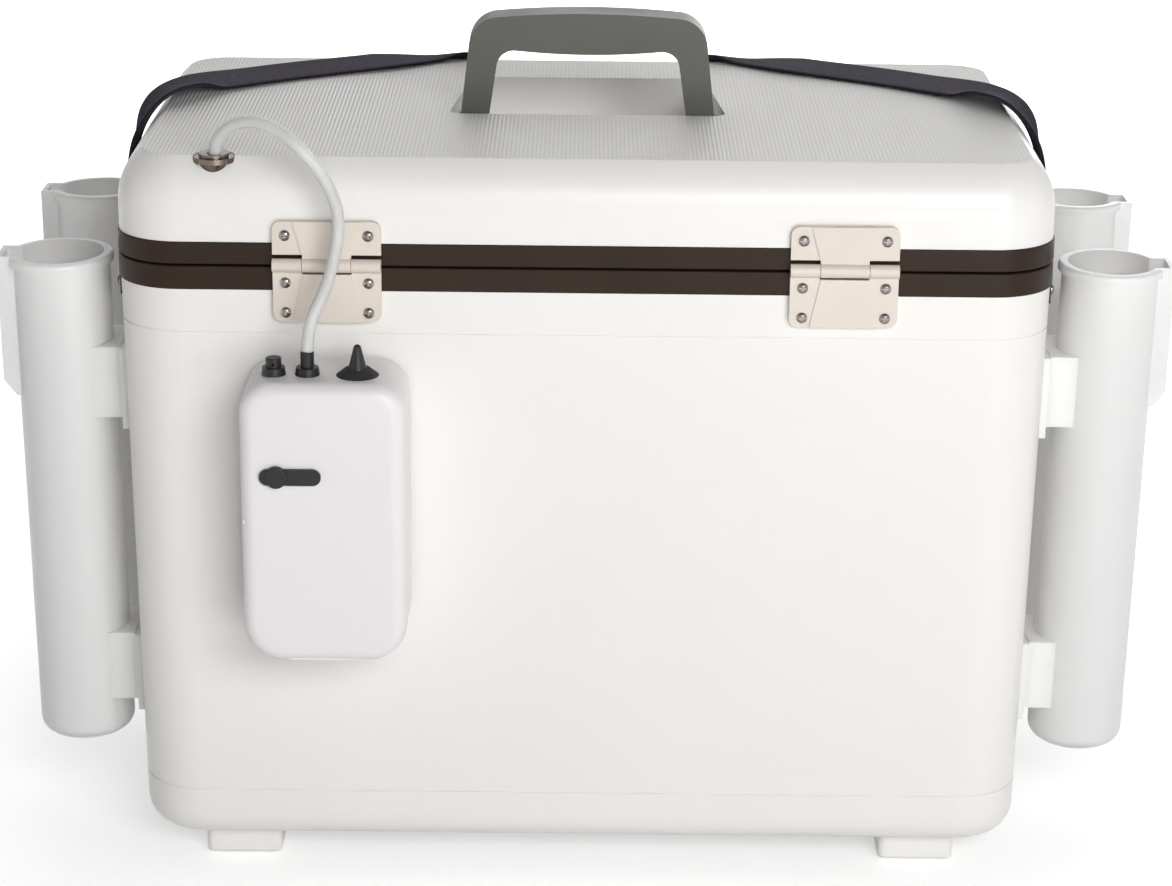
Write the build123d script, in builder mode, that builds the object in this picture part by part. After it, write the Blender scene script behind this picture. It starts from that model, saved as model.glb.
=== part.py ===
"""Insulated live-bait box with an air pump, a carry handle, a strap and four rod holders.

Millimetres. +X along the long side, +Y towards the latch side, +Z up.
The hinges and the pump are on the -Y side. The origin is on the ground under the middle.
"""

import os
from math import asin, degrees, pi, radians, tan

from build123d import *

os.makedirs("parts", exist_ok=True)

# ---- fits ----
seat_gap = 0.25
run_gap = 0.05
hole_gap = 0.1
slide_gap = 0.3
part_gap = 0.3
cut_past = 1.0

# ---- body ----
shell_length = 468.0
shell_depth = 265.5
shell_corner = 32.0
shell_wall = 3.0
wall_draft = 0.75
underside = 15.0
underside_round = 16.0
band_proud = 1.0
band_proud_long = 0.75
band_bottom = 317.0
band_height = 12.0
band_skirt = 3.5
band_flange = 3.0
band_round = 0.8
insulated_wall = 24.0
liner_wall = 2.5
liner_flange = 10.0
tank_floor = 41.0
tank_round = 8.0
tank_corner = 11.0
seam_depth = 0.6
seam_width = 1.0
lower_seam = 44.5
upper_seam = 295.0

# ---- lid ----
parting_gap = 1.0
lid_band_height = 11.3
lid_top = 382.0
lid_step = 0.7
lid_wall = 3.0
shoulder_start = 356.0
shoulder_radius = 32.5
crease_round = 1.5
plug_gap = 3.0
plug_drop = 8.0
gasket_width = 6.0
gasket_height = 2.2
gasket_inset = 14.0

# ---- feet ----
foot_from_end = 55.5
foot_length = 40.0
foot_width = 30.0
foot_corner = 4.0
foot_round = 2.5

# ---- hinges ----
hinge_from_end = 106.5
hinge_width = 53.5
hinge_axis_out = 3.9
hinge_axis_z = 331.0
knuckle_radius = 3.4
hinge_pin_radius = 1.5
outer_knuckle = 14.5
knuckle_gap = 0.25
leaf_thick = 3.2
upper_leaf_bottom = 336.2
upper_leaf_top = 353.0
lower_leaf_bottom = 302.0
lower_leaf_top = 326.4
leaf_corner = 4.5
hinge_panel_proud = 0.9
hinge_panel_edge = 10.0
hinge_panel_waist = 15.0
hinge_screw_x = 20.5
upper_screw_z = 346.0
middle_screw_z = 322.0
lower_screw_z = 306.8
hinge_head_radius = 2.7
hinge_head_height = 1.7
hinge_shank_radius = 1.4
hinge_shank_length = 6.5

# ---- handle ----
handle_axis_y = -7.0
handle_axis_z = 370.0
handle_base_half = 67.5
handle_taper = 6.9
handle_shoulder_z = 431.0
handle_top = 434.5
handle_leg = 14.3
handle_depth = 21.0
handle_corner = 16.0
handle_inner_corner = 9.0
grip_under_z = 415.8
grip_under_bow = 2.8
handle_hub_radius = 10.0
handle_pin_radius = 3.0
recess_side_gap = 5.0
recess_end_gap = 3.0
recess_near = -20.0
recess_far = 73.0
recess_floor = 358.0
recess_corner = 6.0
recess_round = 3.0
handle_boss_radius = 8.0
handle_boss_depth = 7.0
handle_boss_end = 1.0

# ---- grommet and hose ----
grommet_past_pump = 56.0
grommet_from_edge = 12.8
grommet_seat = 379.0
grommet_radius = 10.0
grommet_flange = 2.6
grommet_ring_radius = 7.6
grommet_ring_height = 4.4
grommet_plug_radius = 7.5
grommet_plug_length = 14.0
hose_boss_radius = 11.5
hose_boss_depth = 20.0
hose_slant = 24.0
hose_radius = 3.0
hose_bend_share = 0.45
hose_pass_radius = 4.2

# ---- pump ----
pump_width = 81.0
pump_bottom = 138.5
pump_top = 283.0
pump_stand_off = 3.25
pump_back_depth = 10.0
pump_front_depth = 37.0
pump_wall = 2.2
pump_low_corner = 20.0
pump_high_corner = 15.0
pump_front_round = 7.0
fitting_depth = 17.0
nozzle_left = 8.0
cap_left = 24.5
switch_right = 16.5
collar_radius = 6.1
collar_height = 3.8
nozzle_radius = 3.35
nozzle_tip = 294.4
cap_radius = 3.9
cap_height = 8.6
air_bore = 1.5
spigot_radius = 3.0
boot_base_radius = 10.5
boot_top_radius = 6.4
boot_height = 3.4
lever_ball_radius = 5.0
lever_pivot_z = 285.0
lever_base_radius = 4.3
lever_tip_radius = 2.0
lever_tip_z = 298.5
jack_z = 236.8
jack_left = 7.5
jack_radius = 3.2
jack_cover_start = 30.7
jack_cover_end = 0.5
jack_cover_height = 8.3
jack_cover_thick = 1.5
jack_knob_left = 22.5
jack_knob_radius = 5.5
jack_knob_thick = 2.6
jack_pin_radius = 1.6
case_screw_inset = 9.0
case_screw_low = 222.0
case_screw_high = 262.0
case_screw_sunk = 3.0
case_screw_length = 18.0
case_head_radius = 2.6
case_head_height = 1.6
case_shank_radius = 1.3
case_post_radius = 4.0
case_seat_radius = 4.5
switch_body_half = 6.5
switch_body_depth = 13.0
jack_rim = 1.2
jack_depth = 8.0
jack_floor = 1.0
jack_pin_tip = 1.0
fitting_round = 0.6
fitting_taper = 8.0
vent_drop = 3.0
bracket_half = 24.0
bracket_low = 160.0
bracket_high = 272.0
bracket_screw_inset = 15.0
bracket_screw_sunk = 2.5
cell_radius = 16.6
cell_length = 61.0
cell_button = 1.5
cell_spacing = 35.0
cell_depth = 17.8
cell_lift = 6.0
contact_thick = 1.0
contact_width = 14.0
shelf_thick = 2.0
motor_radius = 12.0
motor_length = 25.0
motor_depth = 14.0
motor_z = 237.5
motor_shaft_radius = 1.5
eccentric_radius = 5.0
eccentric_throw = 1.2
eccentric_width = 5.0
diaphragm_radius = 11.0
diaphragm_thick = 3.0
follower_radius = 2.5
valve_bottom = 258.0
valve_left = 4.0
valve_half = 12.0
valve_corner = 3.0
valve_bore_depth = 14.0
motor_gap = 2.0

# ---- rod holders ----
tube_stand_off = 36.2
tube_from_edge = 63.95
tube_rim_z = 318.5
tube_radius = 25.0
tube_bore = 22.5
tube_length = 266.5
tube_lean = 0.7
tube_splay = 1.3
tube_floor = 3.0
tube_bottom_round = 8.0
tube_drain = 6.0
bead_radius = 27.2
bead_height = 4.4
channel_proud = 6.3
channel_width = 22.0
channel_wall = 2.5
channel_length = 66.0
channel_ramp = 8.5
block_face = 30.6
block_half = 19.0
block_height = 37.9
upper_block_drop = 45.9
lower_block_drop = 205.1
tongue_height = 18.0
tongue_neck = 6.0
tongue_head = 10.0
tongue_step = 2.0
receiver_half = 22.0
receiver_height = 43.1
receiver_screw_y = 16.0
receiver_screw_drop = 34.0

# ---- strap ----
strap_width = 38.0
strap_thick = 1.5
strap_stand_off = 2.2
strap_side_y = -47.0
strap_end_past = 1.0
strap_straight = 8.0
clamp_low = 297.0
clamp_high = 311.0
clamp_half = 25.0
clamp_thick = 2.2
clamp_screw_y = 22.2

# ---- latches ----
latch_half = 17.0
latch_stand_off = 5.9
latch_axis_z = 348.5
latch_knuckle_radius = 3.2
latch_pin_radius = 1.5
latch_ajar = 8.0
latch_plate_top = 355.0
latch_flap_length = 42.0
latch_flap_thick = 3.0
latch_flap_back = 0.6
latch_nose_drop = 36.0
latch_nose_height = 4.0
latch_knuckle_width = 4.5
latch_tab = 14.0
latch_plate_corner = 2.0
latch_lip = 3.0
latch_lip_start = 1.0
latch_nose_edge = 1.0
latch_nose_bevel = 1.5
latch_ledge_past = 2.0
latch_engage_gap = 0.5
catch_ledge_height = 3.2
catch_low = 303.0
catch_reach = 3.4
catch_screw_z = 307.5
latch_plate_thick = 2.2
latch_screw_x = 26.5

# ---- small fasteners ----
wood_head_radius = 3.0
wood_head_height = 1.8
wood_shank_radius = 1.6
screw_tip_gap = 0.5
head_sunk = 0.2
cross_share = 1.2
cross_depth_share = 0.6

# ---- inside the tank ----
stone_past_grommet = 40.0
stone_radius = 10.0
stone_height = 34.0
stone_barb = 8.0
stone_round = 1.5
hose_end_gap = 0.4

# ---- derived levels ----
wall_slope = tan(radians(wall_draft))
band_top = band_bottom + band_height
lid_bottom = band_top + parting_gap
lid_band_top = lid_bottom + lid_band_height
band_length = shell_length + 2 * band_proud
band_depth = shell_depth + 2 * band_proud_long
band_corner = shell_corner + band_proud
lid_length = band_length - 2 * lid_step
lid_depth = band_depth - 2 * lid_step
lid_corner = band_corner
liner_outside = insulated_wall - liner_wall
liner_top = band_top - band_flange
tank_length = shell_length - 2 * insulated_wall
tank_depth = shell_depth - 2 * insulated_wall
plug_length = tank_length - 2 * plug_gap
plug_depth = tank_depth - 2 * plug_gap
lid_liner_flange = lid_bottom + band_flange
near_band_y = -band_depth / 2
far_band_y = band_depth / 2
hinge_x = shell_length / 2 - hinge_from_end
hinge_axis_y = near_band_y - hinge_axis_out
leaf_face_y = near_band_y - leaf_thick
hinge_shank_tip_y = leaf_face_y + hinge_shank_length
foot_x = shell_length / 2 - foot_from_end
handle_top_half = handle_base_half - handle_taper
recess_half = handle_base_half + recess_side_gap
recess_far_half = handle_top_half + recess_end_gap
pump_x = -hinge_x
pump_back_y = -shell_depth / 2 - pump_stand_off
pump_seam_y = pump_back_y - pump_back_depth
pump_front_y = pump_seam_y - pump_front_depth
fitting_y = pump_seam_y - fitting_depth
nozzle_x = pump_x - nozzle_left
cap_x = pump_x - cap_left
switch_x = pump_x + switch_right
jack_x = pump_x - jack_left
jack_cover_left = pump_x - jack_cover_start
jack_cover_right = pump_x - jack_cover_end
jack_knob_x = pump_x - jack_knob_left
cell_y = pump_seam_y - cell_depth
motor_y = pump_seam_y - motor_depth
grommet_x = pump_x - grommet_past_pump
grommet_y = grommet_from_edge - lid_depth / 2
stone_x = grommet_x
stone_y = grommet_y + stone_past_grommet
tube_rim_x = shell_length / 2 + tube_stand_off
tube_rim_y = shell_depth / 2 - tube_from_edge
strap_side_x = shell_length / 2 + strap_stand_off
latch_x = hinge_x
latch_axis_y = far_band_y + latch_stand_off


def wall_y(height):
    """Distance of the body's long walls from the middle plane."""
    return shell_depth / 2 - (band_bottom - height) * wall_slope


def wall_x(height):
    """Distance of the body's end walls from the middle plane."""
    return shell_length / 2 - (band_bottom - height) * wall_slope


def drafted_block(inset, corner, bottom, top, bottom_round):
    """Solid with the body's drafted walls, drawn in by an inset."""
    with BuildPart() as block:
        for height in (bottom, top):
            with BuildSketch(Plane.XY.offset(height)):
                RectangleRounded(2 * (wall_x(height) - inset), 2 * (wall_y(height) - inset), corner)
        loft(ruled=True)
        fillet(block.faces().sort_by(Axis.Z)[0].edges(), bottom_round)
    return block.part


def lid_block(inset, bottom):
    """Solid with the lid's rounded shoulder and flat top, drawn in by an inset."""
    arc = shoulder_radius - inset
    with BuildPart() as block:
        with BuildSketch(Plane.XY.offset(bottom)):
            RectangleRounded(lid_length - 2 * inset, lid_depth - 2 * inset, lid_corner - inset)
        extrude(amount=shoulder_start + arc - bottom)
        fillet(block.faces().sort_by(Axis.Z)[-1].edges(), arc)
        split(bisect_by=Plane.XY.offset(lid_top - inset), keep=Keep.BOTTOM)
    return block.part


def recess_block(margin, top):
    """The handle's recess, which narrows as the handle does, grown by a margin."""
    near_half = recess_half + margin
    far_half = recess_far_half + margin
    with BuildPart() as block:
        with BuildSketch(Plane.XY.offset(recess_floor - margin)) as outline:
            with BuildLine():
                Polyline(
                    (-near_half, recess_near - margin),
                    (near_half, recess_near - margin),
                    (far_half, recess_far + margin),
                    (-far_half, recess_far + margin),
                    (-near_half, recess_near - margin),
                )
            make_face()
            fillet(outline.vertices(), recess_corner + margin)
        extrude(amount=top - recess_floor + margin)
        fillet(block.faces().sort_by(Axis.Z)[0].edges(), recess_round + margin)
    return block.part


hose_direction = Vector(0, tan(radians(hose_slant)), -1).normalized()
hose_gate = Plane(origin=(grommet_x, grommet_y, grommet_seat), x_dir=(1, 0, 0), z_dir=hose_direction)


def hose_way(radius, start, end):
    """Round bar on the hose's slanted line, from one distance past the seat to another."""
    with BuildPart() as way:
        with BuildSketch(hose_gate.offset(start)):
            Circle(radius)
        extrude(amount=end - start)
    return way.part


def lid_core(gap):
    """The space inside the lid shell, drawn in by a gap."""
    lid_space = lid_block(lid_wall + gap, lid_bottom)
    pocket = recess_block(lid_wall + gap, lid_top)
    hose_boss = hose_way(hose_boss_radius + gap, -3 * hose_boss_radius, hose_boss_depth + gap)
    boss_end = recess_half + handle_boss_depth + gap
    with BuildPart() as core:
        add(lid_space)
        add(pocket, mode=Mode.SUBTRACT)
        add(hose_boss, mode=Mode.SUBTRACT)
        with BuildSketch(Plane.YZ.offset(-boss_end)):
            with Locations((handle_axis_y, handle_axis_z)):
                Circle(handle_boss_radius + gap)
        extrude(amount=2 * boss_end, mode=Mode.SUBTRACT)
    return core.part


def pan_screw(head_radius, head_height, shank_radius, length):
    """Cross-recessed screw whose seat is the XY plane and whose head points up."""
    slot_width = head_radius / 3
    rim = head_height / 3
    crown = head_height - rim
    dome = (head_radius**2 + crown**2) / (2 * crown)
    dome_angle = degrees(asin(head_radius / dome))
    with BuildPart() as screw:
        with BuildSketch(Plane.XZ):
            with BuildLine():
                Polyline(
                    (0, head_height),
                    (0, -length),
                    (shank_radius, -length),
                    (shank_radius, 0),
                    (head_radius, 0),
                    (head_radius, rim),
                )
                CenterArc((0, head_height - dome), dome, 90 - dome_angle, dome_angle)
            make_face()
        revolve(axis=Axis.Z)
        with BuildSketch(Plane.XY.offset(head_height)):
            Rectangle(cross_share * head_radius, slot_width)
            Rectangle(slot_width, cross_share * head_radius)
        extrude(amount=-cross_depth_share * head_height, mode=Mode.SUBTRACT)
    return screw.part


def near_planes(places, face_y):
    """Planes on a near face that look towards -Y."""
    return [Plane(origin=(x, face_y, z), x_dir=(1, 0, 0), z_dir=(0, -1, 0)) for x, z in places]


def far_planes(places, face_y):
    """Planes on a far face that look towards +Y."""
    return [Plane(origin=(x, face_y, z), x_dir=(-1, 0, 0), z_dir=(0, 1, 0)) for x, z in places]


# ---- screw places ----
both_sides = (-1, 1)
lower_hinge_places = [
    (side * hinge_x + step * hinge_screw_x, height)
    for side in both_sides
    for step in both_sides
    for height in (middle_screw_z, lower_screw_z)
]
upper_hinge_places = [
    (side * hinge_x + step * hinge_screw_x, upper_screw_z) for side in both_sides for step in both_sides
]
lower_hinge_planes = near_planes(lower_hinge_places, leaf_face_y)
upper_hinge_planes = near_planes(upper_hinge_places, leaf_face_y)
hinge_screw_way = hinge_shank_tip_y - leaf_face_y + seat_gap

pump_bracket_places = [
    (pump_x, bracket_low + bracket_screw_inset),
    (pump_x, bracket_high - bracket_screw_inset),
]
bracket_screw_face = pump_back_y + bracket_screw_sunk
bracket_planes = near_planes(pump_bracket_places, bracket_screw_face)
bracket_screw_length = -bracket_screw_face - wall_y(bracket_high) + shell_wall - screw_tip_gap

catch_face_y = wall_y(band_bottom) + latch_plate_thick
catch_places = [
    (side * latch_x + step * latch_screw_x, catch_screw_z) for side in both_sides for step in both_sides
]
catch_planes = far_planes(catch_places, catch_face_y)
catch_screw_length = latch_plate_thick + shell_wall - screw_tip_gap

latch_face_y = lid_depth / 2 + latch_plate_thick
latch_places = [
    (side * latch_x + step * latch_screw_x, latch_axis_z) for side in both_sides for step in both_sides
]
latch_planes = far_planes(latch_places, latch_face_y)
latch_screw_length = latch_plate_thick + lid_wall - screw_tip_gap

clamp_face_x = strap_side_x + strap_thick / 2 + part_gap + clamp_thick
clamp_z = (clamp_low + clamp_high) / 2
clamp_screw_length = clamp_face_x - wall_x(band_bottom) + shell_wall - screw_tip_gap
clamp_planes = [
    Plane(
        origin=(side * clamp_face_x, strap_side_y + step * clamp_screw_y, clamp_z),
        x_dir=(0, side, 0),
        z_dir=(side, 0, 0),
    )
    for side in both_sides
    for step in both_sides
]

# ---- rod holder frame: local +X points away from the box, +Z up along the tube ----
tube_up = Vector(-tan(radians(tube_lean)), -tan(radians(tube_splay)), 1).normalized()
tube_plane = Plane(origin=(-tube_rim_x, -tube_rim_y, tube_rim_z), x_dir=(-1, 0, 0), z_dir=tube_up)
channel_plane = Plane(origin=tube_plane.origin, x_dir=tube_plane.x_dir, z_dir=-tube_plane.y_dir)
block_drops = (upper_block_drop, lower_block_drop)
receiver_face = block_face + slide_gap
receiver_screw_places = [
    tube_plane.from_local_coords(
        Vector(-receiver_face, step * receiver_screw_y, -drop - receiver_screw_drop)
    )
    for drop in block_drops
    for step in both_sides
]
receiver_planes = [
    Plane(origin=place, x_dir=(0, 1, 0), z_dir=(-1, 0, 0)) for place in receiver_screw_places
]
receiver_head_depth = wood_head_height + head_sunk
receiver_top_face = -receiver_screw_places[0].X - receiver_head_depth
receiver_screw_wall = wall_x(receiver_screw_places[0].Z)
receiver_screw_length = receiver_top_face - receiver_screw_wall + shell_wall - screw_tip_gap
all_sides = [(flip_x, flip_y) for flip_x in both_sides for flip_y in both_sides]
all_receiver_planes = [
    Plane(origin=(-place.X * flip_x, -place.Y * flip_y, place.Z), x_dir=(0, 1, 0), z_dir=(flip_x, 0, 0))
    for place in receiver_screw_places
    for flip_x, flip_y in all_sides
]

# ---- fasteners ----
hinge_screw = pan_screw(
    hinge_head_radius, hinge_head_height, hinge_shank_radius, hinge_shank_tip_y - leaf_face_y
)


def wood_screw(length):
    """Small screw of one length."""
    return pan_screw(wood_head_radius, wood_head_height, wood_shank_radius, length)


with BuildPart() as hinge_screws_lower:
    with Locations(*lower_hinge_planes):
        add(hinge_screw)
hinge_screws_lower.part.label = "hinge_screws_lower"
export_step(hinge_screws_lower.part, "parts/hinge_screws_lower.step")

with BuildPart() as hinge_screws_upper:
    with Locations(*upper_hinge_planes):
        add(hinge_screw)
hinge_screws_upper.part.label = "hinge_screws_upper"
export_step(hinge_screws_upper.part, "parts/hinge_screws_upper.step")

# ---- outer shell ----
shell_outside = drafted_block(0, shell_corner, underside, band_bottom, underside_round)
shell_inside = drafted_block(
    shell_wall, shell_corner - shell_wall, underside + shell_wall, band_bottom, underside_round - shell_wall
)
shell_hole = hinge_shank_radius + hole_gap
small_hole = wood_shank_radius + hole_gap

with BuildPart() as outer_shell:
    add(shell_outside)
    add(shell_inside, mode=Mode.SUBTRACT)
    for seam in (lower_seam, upper_seam):
        with BuildSketch(Plane.XY.offset(seam)):
            RectangleRounded(
                2 * (wall_x(seam) + cut_past), 2 * (wall_y(seam) + cut_past), shell_corner + cut_past
            )
            RectangleRounded(
                2 * (wall_x(seam) - seam_depth),
                2 * (wall_y(seam) - seam_depth),
                shell_corner - seam_depth,
                mode=Mode.SUBTRACT,
            )
        extrude(amount=seam_width, mode=Mode.SUBTRACT)
    with BuildSketch(*lower_hinge_planes):
        Circle(shell_hole)
    extrude(amount=-hinge_screw_way, mode=Mode.SUBTRACT)
    for planes, length in (
        (bracket_planes, bracket_screw_length),
        (catch_planes, catch_screw_length),
        (clamp_planes, clamp_screw_length),
        (all_receiver_planes, receiver_head_depth + receiver_screw_length),
    ):
        with BuildSketch(*planes):
            Circle(small_hole)
        extrude(amount=-length - seat_gap, mode=Mode.SUBTRACT)
outer_shell.part.label = "outer_shell"
export_step(outer_shell.part, "parts/outer_shell.step")

# ---- tank liner ----
liner_outer_corner = tank_corner + liner_wall
liner_body = drafted_block(
    liner_outside, liner_outer_corner, tank_floor - liner_wall, liner_top, tank_round + liner_wall
)
tank_space = drafted_block(insulated_wall, tank_corner, tank_floor, liner_top, tank_round)
with BuildPart() as inner_liner:
    add(liner_body)
    with BuildSketch(Plane.XY.offset(liner_top - liner_wall)):
        RectangleRounded(
            tank_length + 2 * liner_flange, tank_depth + 2 * liner_flange, tank_corner + liner_flange
        )
    extrude(amount=liner_wall)
    add(tank_space, mode=Mode.SUBTRACT)
inner_liner.part.label = "inner_liner"
export_step(inner_liner.part, "parts/inner_liner.step")

# ---- insulation of the body ----
foam_inset = shell_wall + seat_gap
foam_outside = drafted_block(
    foam_inset,
    shell_corner - foam_inset,
    underside + foam_inset,
    liner_top - liner_wall - seat_gap,
    underside_round - foam_inset,
)
foam_space = drafted_block(
    liner_outside - seat_gap,
    liner_outer_corner + seat_gap,
    tank_floor - liner_wall - seat_gap,
    liner_top,
    tank_round + liner_wall + seat_gap,
)
with BuildPart() as body_foam:
    add(foam_outside)
    add(foam_space, mode=Mode.SUBTRACT)
body_foam.part.label = "body_foam"
export_step(body_foam.part, "parts/body_foam.step")

# ---- lower band ----
skirt_corner = band_corner - band_skirt
with BuildPart() as lower_band:
    with BuildSketch(Plane.XY.offset(band_bottom)):
        RectangleRounded(band_length, band_depth, band_corner)
    extrude(amount=band_height)
    fillet(lower_band.faces().sort_by(Axis.Z)[0].edges(), band_round)
    fillet(lower_band.faces().sort_by(Axis.Z)[-1].edges(), band_round)
    with BuildSketch(Plane.XY.offset(band_bottom)):
        RectangleRounded(band_length - 2 * band_skirt, band_depth - 2 * band_skirt, skirt_corner)
    extrude(amount=band_height - band_flange, mode=Mode.SUBTRACT)
    with BuildSketch(Plane.XY.offset(band_bottom)):
        RectangleRounded(tank_length, tank_depth, tank_corner)
    extrude(amount=band_height, mode=Mode.SUBTRACT)
    with BuildSketch(*lower_hinge_planes):
        Circle(shell_hole)
    extrude(amount=-hinge_screw_way, mode=Mode.SUBTRACT)
lower_band.part.label = "lower_band"
export_step(lower_band.part, "parts/lower_band.step")

# ---- feet ----
foot_near_y = wall_y(underside) - underside_round - foot_width / 2
with BuildPart() as feet:
    with BuildSketch(Plane.XY):
        with GridLocations(2 * foot_x, 2 * foot_near_y, 2, 2):
            RectangleRounded(foot_length, foot_width, foot_corner)
    extrude(amount=underside)
    fillet(feet.faces().filter_by(Axis.Z).group_by(Axis.Z)[0].edges(), foot_round)
feet.part.label = "feet"
export_step(feet.part, "parts/feet.step")

# ---- upper band ----
gasket_length = tank_length + 2 * gasket_inset
gasket_depth = tank_depth + 2 * gasket_inset
gasket_corner = tank_corner + gasket_inset
gasket_bottom = band_top + part_gap
with BuildPart() as upper_band:
    with BuildSketch(Plane.XY.offset(lid_bottom)):
        RectangleRounded(band_length, band_depth, band_corner)
    extrude(amount=lid_band_height)
    fillet(upper_band.faces().sort_by(Axis.Z)[0].edges(), band_round)
    fillet(upper_band.faces().sort_by(Axis.Z)[-1].edges(), band_round)
    with BuildSketch(Plane.XY.offset(lid_liner_flange)):
        RectangleRounded(band_length - 2 * band_skirt, band_depth - 2 * band_skirt, skirt_corner)
    extrude(amount=lid_band_height, mode=Mode.SUBTRACT)
    with BuildSketch(Plane.XY.offset(lid_bottom)):
        RectangleRounded(plug_length + 2 * seat_gap, plug_depth + 2 * seat_gap, tank_corner)
    extrude(amount=lid_band_height, mode=Mode.SUBTRACT)
    with BuildSketch(Plane.XY.offset(lid_bottom)):
        RectangleRounded(gasket_length + 2 * seat_gap, gasket_depth + 2 * seat_gap, gasket_corner)
        RectangleRounded(
            gasket_length - 2 * gasket_width - 2 * seat_gap,
            gasket_depth - 2 * gasket_width - 2 * seat_gap,
            gasket_corner - gasket_width,
            mode=Mode.SUBTRACT,
        )
    extrude(amount=gasket_bottom + gasket_height - lid_bottom, mode=Mode.SUBTRACT)
upper_band.part.label = "upper_band"
export_step(upper_band.part, "parts/upper_band.step")

with BuildPart() as lid_gasket:
    with BuildSketch(Plane.XY.offset(gasket_bottom)):
        RectangleRounded(gasket_length, gasket_depth, gasket_corner)
        RectangleRounded(
            gasket_length - 2 * gasket_width,
            gasket_depth - 2 * gasket_width,
            gasket_corner - gasket_width,
            mode=Mode.SUBTRACT,
        )
    extrude(amount=gasket_height)
lid_gasket.part.label = "lid_gasket"
export_step(lid_gasket.part, "parts/lid_gasket.step")

# ---- lid liner ----
plug_bottom = lid_bottom - plug_drop
hose_through = hose_way(hose_pass_radius, 0, lid_top)
with BuildPart() as lid_liner:
    with BuildSketch(Plane.XY.offset(plug_bottom)):
        RectangleRounded(plug_length, plug_depth, tank_corner - seat_gap)
    extrude(amount=lid_liner_flange - plug_bottom)
    with BuildSketch(Plane.XY.offset(lid_liner_flange)):
        RectangleRounded(
            plug_length + 2 * liner_flange, plug_depth + 2 * liner_flange, tank_corner + liner_flange
        )
    extrude(amount=liner_wall)
    with BuildSketch(Plane.XY.offset(plug_bottom + liner_wall)):
        RectangleRounded(
            plug_length - 2 * liner_wall, plug_depth - 2 * liner_wall, tank_corner - liner_wall
        )
    extrude(amount=lid_top, mode=Mode.SUBTRACT)
    add(hose_through, mode=Mode.SUBTRACT)
lid_liner.part.label = "lid_liner"
export_step(lid_liner.part, "parts/lid_liner.step")

# ---- lid shell ----
lid_outside = lid_block(0, lid_band_top)
lid_inside = lid_core(0)
recess_space = recess_block(0, lid_top + handle_top)
plug_way = hose_way(grommet_plug_radius + seat_gap, -grommet_radius, lid_top)
with BuildPart() as lid_shell:
    add(lid_outside)
    fillet(lid_shell.faces().sort_by(Axis.Z)[-1].edges(), crease_round)
    add(lid_inside, mode=Mode.SUBTRACT)
    add(recess_space, mode=Mode.SUBTRACT)
    for side in both_sides:
        with BuildSketch(Plane.YZ.offset(side * (handle_base_half + part_gap))):
            with Locations((handle_axis_y, handle_axis_z)):
                Circle(handle_boss_radius)
        extrude(amount=side * (recess_half - handle_base_half))
        with BuildSketch(Plane.YZ.offset(side * handle_base_half)):
            with Locations((handle_axis_y, handle_axis_z)):
                Circle(handle_pin_radius + hole_gap)
        extrude(
            amount=side * (recess_half - handle_base_half + handle_boss_depth - handle_boss_end),
            mode=Mode.SUBTRACT,
        )
    with BuildSketch(Plane((grommet_x, grommet_y, grommet_seat))):
        Circle(grommet_radius + seat_gap)
    extrude(amount=lid_top, mode=Mode.SUBTRACT)
    add(plug_way, mode=Mode.SUBTRACT)
    with BuildSketch(*upper_hinge_planes):
        Circle(shell_hole)
    extrude(amount=-hinge_screw_way, mode=Mode.SUBTRACT)
    with BuildSketch(*latch_planes):
        Circle(small_hole)
    extrude(amount=-latch_screw_length - seat_gap, mode=Mode.SUBTRACT)
lid_shell.part.label = "lid_shell"
export_step(lid_shell.part, "parts/lid_shell.step")

# ---- insulation of the lid ----
lid_foam_space = lid_core(seat_gap)
with BuildPart() as lid_foam:
    add(lid_foam_space)
    split(bisect_by=Plane.XY.offset(lid_liner_flange + liner_wall + seat_gap), keep=Keep.TOP)
    tray_foam = liner_wall + seat_gap
    with BuildSketch(Plane.XY.offset(plug_bottom + tray_foam)):
        RectangleRounded(plug_length - 2 * tray_foam, plug_depth - 2 * tray_foam, tank_corner - tray_foam)
    extrude(amount=lid_liner_flange + liner_wall - plug_bottom)
    add(hose_through, mode=Mode.SUBTRACT)
lid_foam.part.label = "lid_foam"
export_step(lid_foam.part, "parts/lid_foam.step")

# ---- hinges ----
hinge_half = hinge_width / 2
centre_knuckle = hinge_width - 2 * outer_knuckle - 2 * knuckle_gap
leaf_back_y = near_band_y
lower_pad = far_band_y - wall_y(band_bottom) - seat_gap / 2
upper_pad = lid_step - seat_gap / 2


def hinge_screw_ways(centre, heights):
    """Planes of one leaf's screws."""
    places = [(centre + step * hinge_screw_x, height) for step in both_sides for height in heights]
    return near_planes(places, leaf_face_y)


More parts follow.
